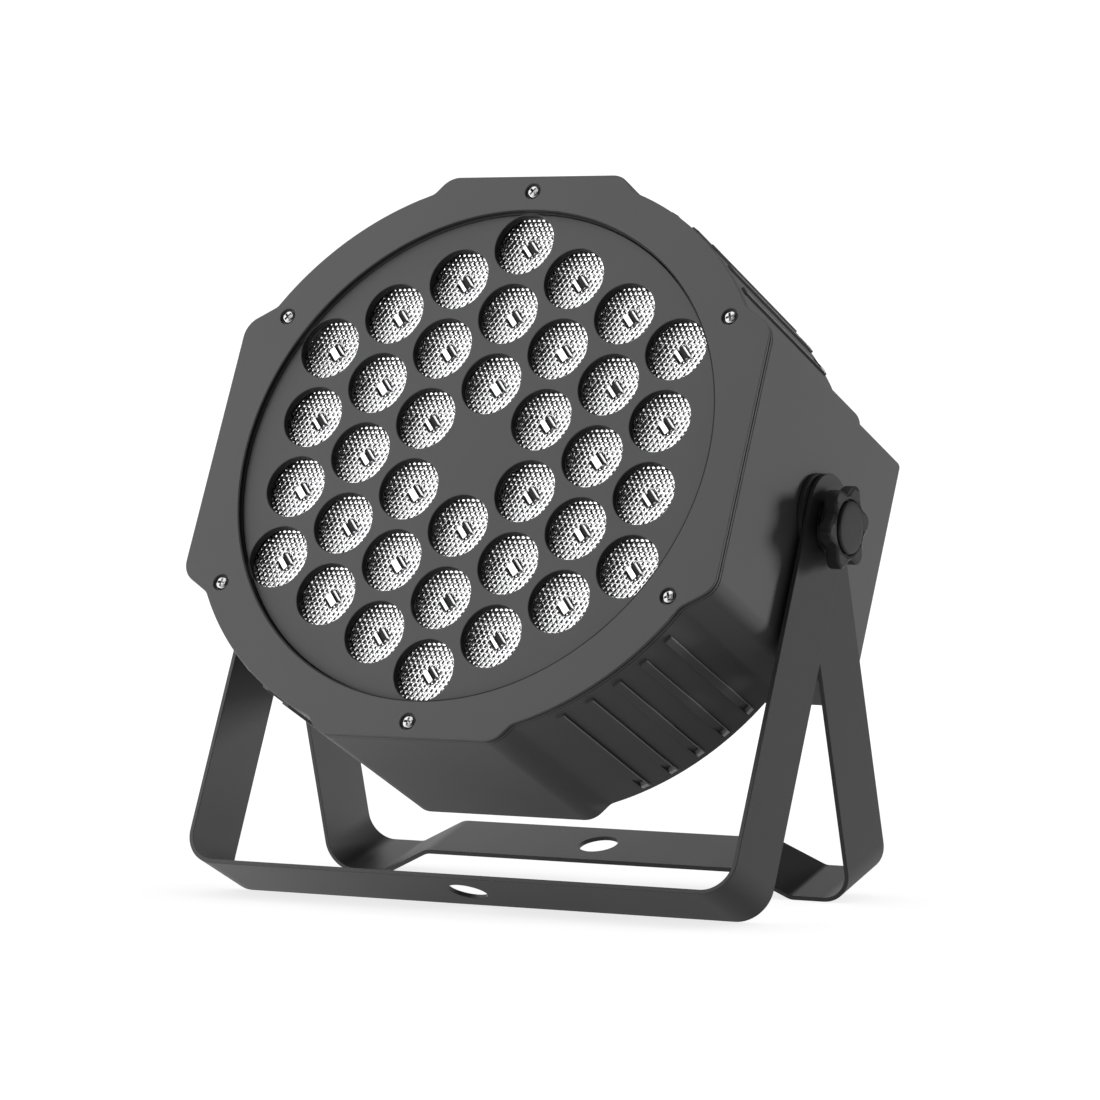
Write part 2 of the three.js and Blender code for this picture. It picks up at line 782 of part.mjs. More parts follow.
const fanBack = panelFront + gap;
function fanFrame() {
  const s = fanSize / 2;
  const webDisc = 1.5;
  const strutWidth = 3;
  const bearingRadius = fanHub - 3.2;
  const bearingHeight = 9;
  const shaftBore = 1.7;
  const frame = block(-s, s, -s, s, fanBack, fanBack + fanDepth).subtract(
    rod(fanBore, fanBack - 1, fanBack + fanDepth + 1, 0, 0, 24),
  );
  const struts = [45, 135, 225, 315].map((angle) =>
    solid(
      new THREE.BoxGeometry(fanBore - fanHub + 2 * strutWidth, strutWidth, webDisc)
        .translate((fanBore + fanHub) / 2, 0, fanBack + webDisc / 2)
        .rotateZ(angle * deg),
    ),
  );
  const motor = rod(fanHub, fanBack, fanBack + webDisc, 0, 0, 16).add(
    rod(bearingRadius, fanBack + 0.5, fanBack + bearingHeight, 0, 0, 16),
  );
  const cuts = [
    rod(shaftBore, fanBack - 1, fanBack + fanDepth, 0, 0, 12),
    ...fanScrews.map(([x, y]) => rod(screwRadius + runGap, fanBack - 1, fanBack + 10, x, y, 10)),
  ];
  return cutBy(joined([frame, ...struts, motor]), cuts);
}

function fanRotor() {
  const low = fanBack + 2.2;
  const high = fanBack + fanDepth - 1.5;
  const cup = 2;
  const shaft = 1.3;
  const bladeChord = 11;
  const bladeThickness = 1.2;
  const bladeTwist = 38;
  const hub = turned(
    [
      [fanHub - cup, low],
      [fanHub, low],
      [fanHub, high],
      [0, high],
      [0, low + 1],
      [shaft, low + 1],
      [shaft, high - 1.8],
      [fanHub - cup, high - 1.8],
      [fanHub - cup, low],
    ],
    0,
    0,
    16,
  );
  const bladeReach = fanBore - 1 - fanHub;
  const blades = [];
  for (let i = 0; i < fanBlades; i++)
    blades.push(
      solid(
        new THREE.BoxGeometry(bladeReach + 1, bladeChord, bladeThickness)
          .rotateX(bladeTwist * deg)
          .translate(fanHub + bladeReach / 2 - 1, 0, (low + high) / 2)
          .rotateZ((360 * i * deg) / fanBlades),
      ),
    );
  return joined([hub, ...blades]);
}

function mainsLead() {
  const to = driverBack - gap;
  const from = panelBack + inletDepth;
  const [x, y] = inletAt;
  return tube(
    [
      [x, y, from],
      [x, y, from + 3],
      [x - 4, y - 14, (from + to) / 2],
      [x - 2, y - 26, to - 3],
      [x - 2, y - 26, to],
    ],
    mainsLeadRadius,
    12,
  );
}

function ledLead() {
  const from = driverTop + gap;
  const [x0] = driverBoardX;
  const reach = sinkRadius + 6.5;
  const round = (angle, radius, z) => [
    radius * Math.cos(angle * deg),
    radius * Math.sin(angle * deg),
    z,
  ];
  return tube(
    [
      [x0 + 5, 42, from],
      [x0 + 5, 42, from + 4],
      round(140, reach - 2, from + 14),
      round(140, reach, sinkBack),
      round(140, reach - 1, boardTop + 2),
      round(140, boardRadius, boardTop + 4.6),
      round(140.5, boardRadius - 2, boardTop + gap + 2.2),
    ],
    ledLeadRadius,
    18,
  );
}

// ---- Yokes --------------------------------------------------------------------------------------
// A flat strap bent to an open path: the path is its outer face, and it is one thickness deep inwards.
function strap(path) {
  const inward = path.map((point, i) => {
    const before = path[Math.max(i - 1, 0)];
    const after = path[Math.min(i + 1, path.length - 1)];
    const a = i > 0 ? point.clone().sub(before).normalize() : after.clone().sub(point).normalize();
    const b = i < path.length - 1 ? after.clone().sub(point).normalize() : a;
    const normal = new THREE.Vector2(-a.y - b.y, a.x + b.x).normalize();
    const share = normal.dot(new THREE.Vector2(-a.y, a.x));
    return point.clone().addScaledVector(normal, strapThickness / share);
  });
  return plate([...path, ...inward.reverse()], -half, half);
}

function yoke(outFace, base, corners) {
  const ends = [
    { at: new THREE.Vector2(-outFace, strapOver) },
    ...corners,
    { at: new THREE.Vector2(outFace, strapOver) },
  ];
  const path = ends.flatMap(({ at, bend }, i) =>
    bend ? roundedCorner(ends[i - 1].at, at, ends[i + 1].at, bend, 4) : [at],
  );
  const eyes = [1, -1].map((s) =>
    rodX(half, s * (outFace - strapThickness), s * outFace, 20, strapOver),
  );
  const holes = [
    rodX(studRadius + runGap, -outFace - 1, outFace + 1),
    solid(
      new THREE.CylinderGeometry(clampHoleRadius, clampHoleRadius, 8, 16).translate(0, -base, 0),
    ),
  ];
  return cutBy(joined([strap(path), ...eyes]), holes);
}

const corner = (x, y, bend) => ({ at: new THREE.Vector2(x, y), bend });
const outerYoke = () =>
  yoke(outerStrapOut, outerLength, [
    corner(-outerStrapOut, -outerLength, outerBend),
    corner(outerStrapOut, -outerLength, outerBend),
  ]);
const innerYoke = () => {
  const low = -innerLength;
  const high = innerRaise - innerLength;
  return yoke(innerStrapOut, innerLength - innerRaise, [
    corner(-innerStrapOut, low, innerBend),
    corner(-footOuter, low, joggleBend),
    corner(-footInner, high, joggleBend),
    corner(footInner, high, joggleBend),
    corner(footOuter, low, joggleBend),
    corner(innerStrapOut, low, innerBend),
  ]);
};

// ---- Clamp knobs, one on each side --------------------------------------------------------------
const studCover = 1.2; // knob between the stud's end and the cap's seat
const washerIn = outerStrapOut + gap;
const hubIn = washerIn + washerThickness + gap;
const starIn = hubIn + hubLength;
const starOut = starIn + starLength;

function knob(s) {
  const points = [];
  const count = starLobes * 4;
  for (let i = 0; i < count; i++) {
    const angle = (2 * Math.PI * i) / count;
    const radius = starRadius + starWave * Math.cos(starLobes * angle);
    points.push(new THREE.Vector2(radius * Math.sin(angle), radius * Math.cos(angle)));
  }
  const star = solid(
    plateGeometry(points.reverse(), 0, starLength)
      .rotateY((s * Math.PI) / 2)
      .translate(s * starIn, 0, 0),
  );
  const hub = rodX(hubRadius, s * hubIn, s * (starIn + 0.5));
  const studHole = rodX(studRadius + gap, s * (hubIn - 1), s * (starOut - capSeat - studCover));
  const seat = rodX(capRadius + gap, s * (starOut - capSeat), s * (starOut + 1), 20);
  return cutBy(star.add(hub), [studHole, seat]);
}
const knobCap = (s) =>
  rodX(capRadius, s * (starOut - capSeat + gap), s * (starOut + capProud), 20);
const knobStud = (s) => {
  const out = starOut - capSeat - studCover - gap;
  return rodX(studRadius, s * (out - studLength), s * out, 16);
};
const knobWasher = (s) =>
  rodX(washerRadius, s * washerIn, s * (washerIn + washerThickness)).subtract(
    rodX(studRadius + gap, s * (washerIn - 1), s * (washerIn + washerThickness + 1)),
  );
const cheekInsert = (s) => {
  const out = halfWidth - wall - 2 * gap;
  return rodX(insertRadius, s * (out - insertLength), s * out, 6).subtract(
    rodX(studRadius + runGap, s * (out - insertLength - 1), s * (out + 1)),
  );
};

// ---- Assembly -----------------------------------------------------------------------------------
const light = new THREE.Group();
const stand = new THREE.Group();
stand.add(named("outer_yoke", outerYoke(), yokePaint));
stand.rotation.x = (90 - outerLean) * deg;
const innerStand = new THREE.Group();
innerStand.add(named("inner_yoke", innerYoke(), yokePaint));
innerStand.rotation.x = (90 + innerLean) * deg;

const head = new THREE.Group();
head.rotation.x = (90 - headTilt) * deg;
head.add(
  named("front_frame", frontFrame(), housingPlastic),
  named("lens_mask", lensMask(), housingPlastic),
  named("lens_array", lensArray(), lensClear),
  named("led_board", ledBoard(), boardWhite),
  named("heat_sink", heatSink(), aluminium),
  named("main_housing", mainHousing(), housingPlastic),
  named("rear_panel", rearPanel(), panelPaint),
  named("power_inlet", powerInlet(), socketPlastic),
  named("fuse_holder", fuseHolder(), socketPlastic),
  named("dmx_in", dmxSocket(dmxAt[0], true), socketPlastic),
  named("dmx_out", dmxSocket(dmxAt[1], false), socketPlastic),
  named("display_window", displayWindow(), windowTint),
  named("control_board", controlBoard(), boardGreen),
  named("driver_board", driverBoard(), boardGreen),
  named("fan_frame", fanFrame(), fanPlastic),
  named("fan_rotor", fanRotor(), fanPlastic),
  named("mains_lead", mainsLead(), leadSleeve),
  named("led_lead", ledLead(), leadSleeve),
);
buttonsX.forEach((x, i) => head.add(named("button_" + buttonNames[i], button(x), knobPlastic)));

const screwSets = [
  ["front_screw", frontScrews, faceFront - sinkBore, frontScrewLength, 1, chrome],
  ["rear_screw", rearScrews, panelBack, shortScrewLength, -1, zinc],
  ["fan_screw", fanScrews, panelBack, shortScrewLength, -1, zinc],
  ["board_screw", sinkPosts, boardTop, frontScrewLength, 1, zinc],
  ["driver_screw", driverPosts, driverTop, driverScrewLength, 1, zinc],
];
for (const [name, places, seat, length, up, material] of screwSets)
  places.forEach(([x, y], i) => {
    const { group, shape } = screw(x, y, seat + (up * gap) / 2, length, up, material === chrome);
    group.add(named(name + "_" + (i + 1), shape, material));
    head.add(group);
  });

for (const [side, s] of [
  ["left", -1],
  ["right", 1],
])
  head.add(
    named(side + "_knob", knob(s), knobPlastic),
    named(side + "_knob_cap", knobCap(s), knobPlastic),
    named(side + "_knob_stud", knobStud(s), zinc),
    named(side + "_knob_washer", knobWasher(s), zinc),
    named(side + "_cheek_insert", cheekInsert(s), brass),
  );

const assembly = new THREE.Group();
assembly.add(stand, innerStand, head);
light.add(assembly);
light.updateMatrixWorld(true);
const bounds = new THREE.Box3().setFromObject(assembly, true);
assembly.position.set(
  -(bounds.min.x + bounds.max.x) / 2,
  -(bounds.min.y + bounds.max.y) / 2,
  -bounds.min.z,
);

export default light;
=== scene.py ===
"""A flat stage par light on a folding double yoke.

Head frame: x across, y up the face, z out of the face, 0 on the tilt axis.
Yoke frames: x across, y up the arms, z across the strap, 0 on the tilt axis.
Shapes are drawn in millimetres in those frames and put in place in metres.
"""

import json
import math

import bpy
from mathutils import Matrix, Vector


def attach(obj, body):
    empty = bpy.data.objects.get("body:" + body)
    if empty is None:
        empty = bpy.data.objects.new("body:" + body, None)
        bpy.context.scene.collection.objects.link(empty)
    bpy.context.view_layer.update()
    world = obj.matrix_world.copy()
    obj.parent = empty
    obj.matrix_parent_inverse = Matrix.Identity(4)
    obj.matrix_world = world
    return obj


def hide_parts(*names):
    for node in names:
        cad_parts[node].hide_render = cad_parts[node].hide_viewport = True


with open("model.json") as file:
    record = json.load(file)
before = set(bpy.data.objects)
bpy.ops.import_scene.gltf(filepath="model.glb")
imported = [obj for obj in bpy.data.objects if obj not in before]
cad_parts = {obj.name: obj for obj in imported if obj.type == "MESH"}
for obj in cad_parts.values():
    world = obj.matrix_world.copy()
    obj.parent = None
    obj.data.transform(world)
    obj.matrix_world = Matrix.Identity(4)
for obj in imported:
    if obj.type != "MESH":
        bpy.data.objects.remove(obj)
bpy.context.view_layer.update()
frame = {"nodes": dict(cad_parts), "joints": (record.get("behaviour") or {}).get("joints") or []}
JOINTS = {joint["name"]: joint for joint in frame["joints"]}
AXIS = Vector(JOINTS["head_tilt"]["pos_m"])
FACE = Vector(JOINTS["fan_spin"]["axis"]).normalized()

# ---- The head's outline, millimetres ------------------------------------------------------------
HALF_WIDTH = 100.2
HALF_HEIGHT = 100.2
SHOULDER = 100.0
SHOULDER_SHIFT = 4.1
TOP_FLAT = 33.1
TOP_SLOPE = 51.0
SIDE_FLAT = 45.7
SIDE_SLOPE = 31.1
CORNER = 8.0
FILLET = 4.0

# ---- Depths along the head's z ------------------------------------------------------------------
FACE_FRONT = 57.7
FRAME_SPLIT = 56.5
FRAME_BACK = 55.1
HOUSING_FRONT = 54.8
MASK_FACE = 55.5
MASK_BACK = 52.5
LENS_RIM = 52.0
WALL_FRONT = -12.7
DRUM_BACK = -15.1
PANEL_FRONT = -45.2
PANEL_BACK = -46.7
HUMP_BACK = -49.7
HUMP_HALF = 44.2
WALL = 2.4
HUMP_EDGE = 2.2

# ---- Lenses, ribs and screws --------------------------------------------------------------------
LENS_PITCH = 25.4
LENS_HOLE = 10.95
MASK_RADIUS = 87.0
FRAME_HOLE = 87.4
# Width of the near-black ring at the rim's hole, a painted shadow line
SHADOW_RING_WIDTH = 0.4
RIB_FIRST = 37.3
RIB_PITCH = 6.1
RIB_WIDTH = 3.0
RIB_HEIGHT = 1.0
RIB_FRONT = 51.5
RIB_BACK = -12.0
SCREW_BORE = 2.9
SCREW_HEAD = 2.3

# ---- Rear panel, seen from the front ------------------------------------------------------------
SOCKET_FACE = PANEL_BACK - 0.3
FLANGE = 1.7
FAN_BORE = 28.7
SLOT_PITCH = 5.4
SLOT_WIDTH = 2.4
INLET = (-62, 18)
FUSE = (-62, -20)
SIGNAL = [(49, -23.5), (75.5, -23.5)]
WINDOW = (63, 22)
INLET_HOLE = (27.6, 20.6)
WINDOW_HOLE = (36.0, 14.0)
FUSE_HOLE = 6.3
SIGNAL_HOLE = 10.8
BUTTON_HOLE = 3.1
SCREW_HOLE = 1.8
BUTTON_ROW = 3
BUTTONS = {"menu": 47, "up": 57.7, "down": 68.3, "enter": 79}

# ---- Yokes --------------------------------------------------------------------------------------
STRAP_HALF = 14.0
STRAP_THICK = 1.5
STRAP_OVER = 3.8
OUTER_LEAN = 24.5
OUTER_REACH = 131.7
INNER_REACH = 126.9
INNER_RAISE = 8.7
FOOT_OUT = 79.0
FOOT_IN = 61.0
OUTER_SIDE = 103.8
INNER_SIDE = 102.0
PIVOT_HOLE = 4.3
CLAMP_HOLE = 6.75
OUTER_BEND = 11.5
INNER_BEND = 10.7
FOOT_BEND = 6

# ---- Clamp knobs, measured out from the lamp's middle -------------------------------------------
WASHER_BACK = 104.1
WASHER_FRONT = 105.1
HUB_BACK = 105.4
HUB_FRONT = 111.0
STAR_BACK = 107.2
STAR_FRONT = 112.2
CAP_BACK = 111.3
CAP_FRONT = 113.2


def face_frame():
    """The head's frame: its z is the way the lamp shines."""
    up = FACE.cross(Vector((1, 0, 0)))
    turn = Matrix((Vector((1, 0, 0)), up, FACE)).transposed()
    return Matrix.Translation(AXIS) @ turn.to_4x4() @ Matrix.Scale(0.001, 4)


def arm_frame(lean):
    """A yoke's frame, leaning forwards by that many degrees."""
    angle = math.radians(lean)
    up = Vector((0, math.sin(angle), math.cos(angle)))
    out = Vector((0, -math.cos(angle), math.sin(angle)))
    turn = Matrix((Vector((1, 0, 0)), up, out)).transposed()
    return Matrix.Translation(AXIS) @ turn.to_4x4() @ Matrix.Scale(0.001, 4)


def inner_lean():
    """How far the inner yoke leans so that both yokes stand on one floor."""
    angle = math.radians(OUTER_LEAN)
    height = OUTER_REACH * math.cos(angle) + STRAP_HALF * math.sin(angle)
    reach = math.hypot(INNER_REACH, STRAP_HALF)
    return math.degrees(math.atan2(STRAP_HALF, INNER_REACH) + math.acos(height / reach))


HEAD = face_frame()
OUTER_ARM = arm_frame(OUTER_LEAN)
INNER_ARM = arm_frame(-inner_lean())


# ---- Camera, floor and light --------------------------------------------------------------------
def add_camera():
    bpy.ops.object.camera_add(location=AXIS + Vector((0.8547, -1.4958, 0.0696)))
    camera = bpy.context.object
    camera.name = "Camera"
    camera.rotation_euler = (math.radians(87.36), 0, math.radians(29.75))
    camera.data.lens = 168
    camera.data.sensor_width = 36
    camera.data.clip_start = 0.05
    camera.data.clip_end = 60
    bpy.context.scene.camera = camera


def add_softbox(name, place, target, width, height, power):
    """A large soft light at place, facing target."""
    bpy.ops.object.light_add(type="AREA", location=place)
    light = bpy.context.object
    light.name = name
    light.data.shape = "RECTANGLE"
    light.data.size = width
    light.data.size_y = height
    light.data.energy = power
    way = Vector(target) - Vector(place)
    light.rotation_euler = way.to_track_quat("-Z", "Y").to_euler()
    light.visible_glossy = False
    return light


def add_lights():
    add_softbox("Key softbox", (-1.5, -1.7, 1.8), (0, 0, 0.1), 1.3, 1.3, 12.5)
    add_softbox("Side softbox", (1.5, 2.55, 0.35), (0, 0, 0.14), 0.6, 0.6, 172)
    add_softbox("Fill softbox", (1.0, -1.9, 0.2), (0, 0, 0.1), 1.0, 1.0, 0.8)
    add_softbox("Low softbox", (-0.9, -1.6, 0.3), (0, 0, 0), 1.2, 0.5, 4.5)


def light_room():
    """A white room to the camera. The object sees a dim one, with one bright side to mirror."""
    world = bpy.data.worlds.new("Studio")
    bpy.context.scene.world = world
    world.use_nodes = True
    nodes, links = world.node_tree.nodes, world.node_tree.links
    nodes.clear()
    out = nodes.new("ShaderNodeOutputWorld")
    seen = nodes.new("ShaderNodeBackground")
    seen.inputs["Color"].default_value = (1, 1, 1, 1)
    seen.inputs["Strength"].default_value = 1.1
    dim = nodes.new("ShaderNodeBackground")
    dim.inputs["Color"].default_value = (1, 1, 1, 1)
    dim.inputs["Strength"].default_value = 0.11
    mirrored = nodes.new("ShaderNodeBackground")
    mirrored.inputs["Strength"].default_value = 1.0
    path = nodes.new("ShaderNodeLightPath")
    glossy = nodes.new("ShaderNodeMixShader")
    mix = nodes.new("ShaderNodeMixShader")
    place = nodes.new("ShaderNodeTexCoord")
    towards = nodes.new("ShaderNodeVectorMath")
    towards.operation = "DOT_PRODUCT"
    towards.inputs[1].default_value = (-0.84, -0.12, 0.53)
    ramp = nodes.new("ShaderNodeValToRGB")
    ramp.color_ramp.elements[0].position = 0.45
    ramp.color_ramp.elements[0].color = (0.02, 0.02, 0.02, 1)
    ramp.color_ramp.elements[1].position = 0.78
    ramp.color_ramp.elements[1].color = (1.9, 1.9, 1.9, 1)
    links.new(place.outputs["Generated"], towards.inputs[0])
    links.new(towards.outputs["Value"], ramp.inputs[0])
    links.new(ramp.outputs[0], mirrored.inputs["Color"])
    links.new(path.outputs["Is Glossy Ray"], glossy.inputs[0])
    links.new(dim.outputs[0], glossy.inputs[1])
    links.new(mirrored.outputs[0], glossy.inputs[2])
    links.new(path.outputs["Is Camera Ray"], mix.inputs[0])
    links.new(glossy.outputs[0], mix.inputs[1])
    links.new(seen.outputs[0], mix.inputs[2])
    links.new(mix.outputs[0], out.inputs[0])


def map_range(nodes, start, end, low, high):
    """A node that carries start..end over to low..high."""
    node = nodes.new("ShaderNodeMapRange")
    node.inputs["From Min"].default_value = start
    node.inputs["From Max"].default_value = end
    node.inputs["To Min"].default_value = low
    node.inputs["To Max"].default_value = high
    return node


def add_floor():
    """A pale floor that fades into the room, with a painted contact shadow under the straps, and
    for all but camera rays a painted glow of bounced light, stronger to the left.
    """
    bpy.ops.mesh.primitive_plane_add(size=8, location=(0, 0, 0))
    floor = bpy.context.object
    floor.name = "Floor"
    bpy.ops.object.transform_apply(location=True, rotation=True, scale=True)
    paint = bpy.data.materials.new("Pale floor")
    paint.use_nodes = True
    nodes, links = paint.node_tree.nodes, paint.node_tree.links
    nodes.clear()
    out = nodes.new("ShaderNodeOutputMaterial")
    cloth = nodes.new("ShaderNodeBsdfDiffuse")
    cloth.inputs["Color"].default_value = (0.06, 0.06, 0.06, 1)
    seen = nodes.new("ShaderNodeEmission")
    bounced = nodes.new("ShaderNodeEmission")
    place = nodes.new("ShaderNodeTexCoord")
    distance = nodes.new("ShaderNodeVectorMath")
    distance.operation = "LENGTH"
    fade = map_range(nodes, 0.2, 0.5, 1.0, 1.1)
    # An occlusion node darkens what the camera sees near the straps: a painted contact shadow.
    contact = nodes.new("ShaderNodeAmbientOcclusion")
    contact.inputs["Distance"].default_value = 0.05
    grounded = map_range(nodes, 0, 1, 0.78, 1.0)
    lit = nodes.new("ShaderNodeMath")
    lit.operation = "MULTIPLY"
    across = nodes.new("ShaderNodeSeparateXYZ")
    # For all other rays the floor glows, stronger to the left and faded near the lamp: painted
    # bounce light.
    leftwards = map_range(nodes, 0.18, -0.45, 0.3, 2.4)
    clear = map_range(nodes, -0.1, 0.25, 0, 1)
    share = nodes.new("ShaderNodeMath")
    share.operation = "MULTIPLY"
    path = nodes.new("ShaderNodeLightPath")
    mix = nodes.new("ShaderNodeMixShader")
    both = nodes.new("ShaderNodeAddShader")
    links.new(place.outputs["Object"], distance.inputs[0])
    links.new(distance.outputs["Value"], fade.inputs["Value"])
    links.new(contact.outputs["AO"], grounded.inputs["Value"])
    links.new(fade.outputs["Result"], lit.inputs[0])
    links.new(grounded.outputs["Result"], lit.inputs[1])
    links.new(lit.outputs["Value"], seen.inputs["Strength"])
    links.new(place.outputs["Object"], across.inputs[0])
    links.new(across.outputs["X"], leftwards.inputs["Value"])
    links.new(distance.outputs["Value"], clear.inputs["Value"])
    links.new(leftwards.outputs["Result"], share.inputs[0])
    links.new(clear.outputs["Result"], share.inputs[1])
    links.new(share.outputs["Value"], bounced.inputs["Strength"])
    links.new(path.outputs["Is Camera Ray"], mix.inputs[0])
    links.new(bounced.outputs[0], mix.inputs[1])
    links.new(seen.outputs[0], mix.inputs[2])
    links.new(cloth.outputs[0], both.inputs[0])
    links.new(mix.outputs[0], both.inputs[1])
    links.new(both.outputs[0], out.inputs[0])
    floor.data.materials.append(paint)


# ---- Material groups ----------------------------------------------------------------------------
def new_group(name, inputs, outputs):
    """An empty node group with named sockets, and its two end nodes."""
    group = bpy.data.node_groups.new(name, "ShaderNodeTree")
    for label, kind, value in inputs:
        socket = group.interface.new_socket(label, in_out="INPUT", socket_type=kind)
        socket.default_value = value
    for label, kind in outputs:
        group.interface.new_socket(label, in_out="OUTPUT", socket_type=kind)
    return group, group.nodes.new("NodeGroupInput"), group.nodes.new("NodeGroupOutput")


def fine_grain_group():
    """A moulded or powder-coated skin: a fine stipple, with a slow drift of tone and gloss."""
    number, colour = "NodeSocketFloat", "NodeSocketColor"
    group, given, made = new_group(
        "Fine grain",
        [
            ("Colour", colour, (0.08, 0.08, 0.08, 1)),
            ("Grain per metre", number, 2600.0),
            ("Tone drift", number, 0.06),
            ("Roughness", number, 0.5),
            ("Roughness drift", number, 0.05),
        ],
        [("Colour", colour), ("Roughness", number), ("Height", number)],
    )
    nodes, links = group.nodes, group.links
    place = nodes.new("ShaderNodeTexCoord")
    stipple = nodes.new("ShaderNodeTexNoise")
    stipple.inputs["Detail"].default_value = 3
    stipple.inputs["Roughness"].default_value = 0.6
    drift = nodes.new("ShaderNodeTexNoise")
    drift.inputs["Scale"].default_value = 34
    drift.inputs["Detail"].default_value = 2
    links.new(place.outputs["Object"], stipple.inputs["Vector"])
    links.new(place.outputs["Object"], drift.inputs["Vector"])
    links.new(given.outputs["Grain per metre"], stipple.inputs["Scale"])
    centre = nodes.new("ShaderNodeMath")
    centre.operation = "SUBTRACT"
    centre.inputs[1].default_value = 0.5
    links.new(drift.outputs["Fac"], centre.inputs[0])
    tone = nodes.new("ShaderNodeMath")
    tone.operation = "MULTIPLY_ADD"
    tone.inputs[2].default_value = 1.0
    links.new(centre.outputs[0], tone.inputs[0])
    links.new(given.outputs["Tone drift"], tone.inputs[1])
    shade = nodes.new("ShaderNodeVectorMath")
    shade.operation = "SCALE"
    links.new(given.outputs["Colour"], shade.inputs[0])
    links.new(tone.outputs[0], shade.inputs["Scale"])
    gloss = nodes.new("ShaderNodeMath")
    gloss.operation = "MULTIPLY_ADD"
    links.new(centre.outputs[0], gloss.inputs[0])
    links.new(given.outputs["Roughness drift"], gloss.inputs[1])
    links.new(given.outputs["Roughness"], gloss.inputs[2])
    links.new(shade.outputs[0], made.inputs["Colour"])
    links.new(gloss.outputs[0], made.inputs["Roughness"])
    links.new(stipple.outputs["Fac"], made.inputs["Height"])
    return group


FINE_GRAIN = fine_grain_group()


def coated(name, colour, roughness, grain=2600.0, bump=0.04, metallic=0.0, drift=0.06, level=0.5):
    """A grained plastic, paint or metal."""
    paint = bpy.data.materials.new(name)
    paint.use_nodes = True
    nodes, links = paint.node_tree.nodes, paint.node_tree.links
    body = nodes["Principled BSDF"]
    body.inputs["Metallic"].default_value = metallic
    body.inputs["Specular IOR Level"].default_value = level
    skin = nodes.new("ShaderNodeGroup")
    skin.node_tree = FINE_GRAIN
    skin.inputs["Colour"].default_value = (*colour, 1)
    skin.inputs["Grain per metre"].default_value = grain
    skin.inputs["Tone drift"].default_value = drift
    skin.inputs["Roughness"].default_value = roughness
    skin.inputs["Roughness drift"].default_value = roughness * 0.15
    relief = nodes.new("ShaderNodeBump")
    relief.inputs["Strength"].default_value = bump
    relief.inputs["Distance"].default_value = 0.0002
    links.new(skin.outputs["Colour"], body.inputs["Base Color"])
    links.new(skin.outputs["Roughness"], body.inputs["Roughness"])
    links.new(skin.outputs["Height"], relief.inputs["Height"])
    links.new(relief.outputs["Normal"], body.inputs["Normal"])
    return paint


def grey(value):
    return (value, value, value * 1.01)


MATERIALS = {
    "housing": coated("Charcoal moulded plastic", grey(0.084), 0.5, 2600, 0.05),
    "mask": coated("Charcoal face plate", grey(0.088), 0.55, 2600, 0.05),
    "yoke": coated("Black powder coat", grey(0.046), 0.46, 3400, 0.07),
    "knob": coated("Black knob plastic", grey(0.028), 0.34, 2200, 0.03),
    "screw": coated("Bright chrome", grey(0.5), 0.14, 900, 0.01, 1.0, 0.02),
    "washer": coated("Dark zinc", grey(0.12), 0.4, 1600, 0.03, 1.0),
    "steel": coated("Zinc plated steel", (0.55, 0.56, 0.58), 0.34, 1500, 0.04, 1.0, 0.12),
    "lens": coated("Silvered lens", grey(0.9), 0.06, 700, 0.0, 1.0, 0.02),
    "aluminium": coated("Milled aluminium", (0.62, 0.63, 0.65), 0.38, 1300, 0.06, 1.0, 0.1),
    "white board": coated("White lamp board", (0.78, 0.78, 0.74), 0.5, 1800, 0.03),
    "green board": coated("Green circuit board", (0.012, 0.1, 0.035), 0.36, 1500, 0.05),
    "panel": coated("Black panel paint", grey(0.035), 0.5, 3400, 0.08),
    "socket": coated("Black socket plastic", grey(0.016), 0.38, 2400, 0.04),
    "window": coated("Dark red window", (0.05, 0.006, 0.008), 0.08, 900, 0.0),
    "fan": coated("Black fan plastic", grey(0.02), 0.45, 2400, 0.04),
    "lead": coated("Black lead sleeve", grey(0.02), 0.55, 2400, 0.05),
    "brass": coated("Brass", (0.72, 0.47, 0.18), 0.28, 1400, 0.03, 1.0, 0.08),
    "contact": coated("Silvered contact", (0.75, 0.75, 0.72), 0.2, 1400, 0.02, 1.0, 0.04),
    "button": coated("Grey button plastic", grey(0.3), 0.45, 2400, 0.04),
    # Pale strips along the ribs' edges, a painted highlight
    "painted_highlight": coated("Painted edge highlight", grey(0.24), 0.4, 2600, 0.05),
    # Pale plastic on the rib stops, painted light where the pockets lie in shade
    "painted_light_stop": coated("Pale plastic for painted light", grey(0.6), 0.5, 2600, 0.05),
    # Near-black painted shade for the rim gap, the lens holes' walls and faces of the dies
    "dark": coated("Shadowed recess", grey(0.01), 0.7, 2400, 0.03),
}


# ---- Ways of making -----------------------------------------------------------------------------
def deselect():
    bpy.ops.object.select_all(action="DESELECT")


def pick(*pieces):
    """Only these pieces are selected, and the first is the active one."""
    deselect()
    for piece in pieces:
        piece.select_set(True)
    bpy.context.view_layer.objects.active = pieces[0]


def clean(piece, gap=0.002):
    """Merges doubles and turns the faces outwards."""
    pick(piece)
    bpy.ops.object.mode_set(mode="EDIT")
    bpy.ops.mesh.select_all(action="SELECT")
    bpy.ops.mesh.remove_doubles(threshold=gap)
    bpy.ops.mesh.normals_make_consistent(inside=False)
    bpy.ops.object.mode_set(mode="OBJECT")


def shade(piece, angle=35):
    """Smooth faces with crisp folds, the large faces staying flat."""
    pick(piece)
    bpy.ops.object.shade_smooth_by_angle(angle=math.radians(angle))
    even = piece.modifiers.new("Even shading", "WEIGHTED_NORMAL")
    even.keep_sharp = True
    even.weight = 80
    bpy.ops.object.modifier_apply(modifier=even.name)


def mesh_from(name, points, edges=(), faces=()):
    mesh = bpy.data.meshes.new(name)
    mesh.from_pydata([tuple(p) for p in points], list(edges), list(faces))
    piece = bpy.data.objects.new(name, mesh)
    bpy.context.scene.collection.objects.link(piece)
    return piece


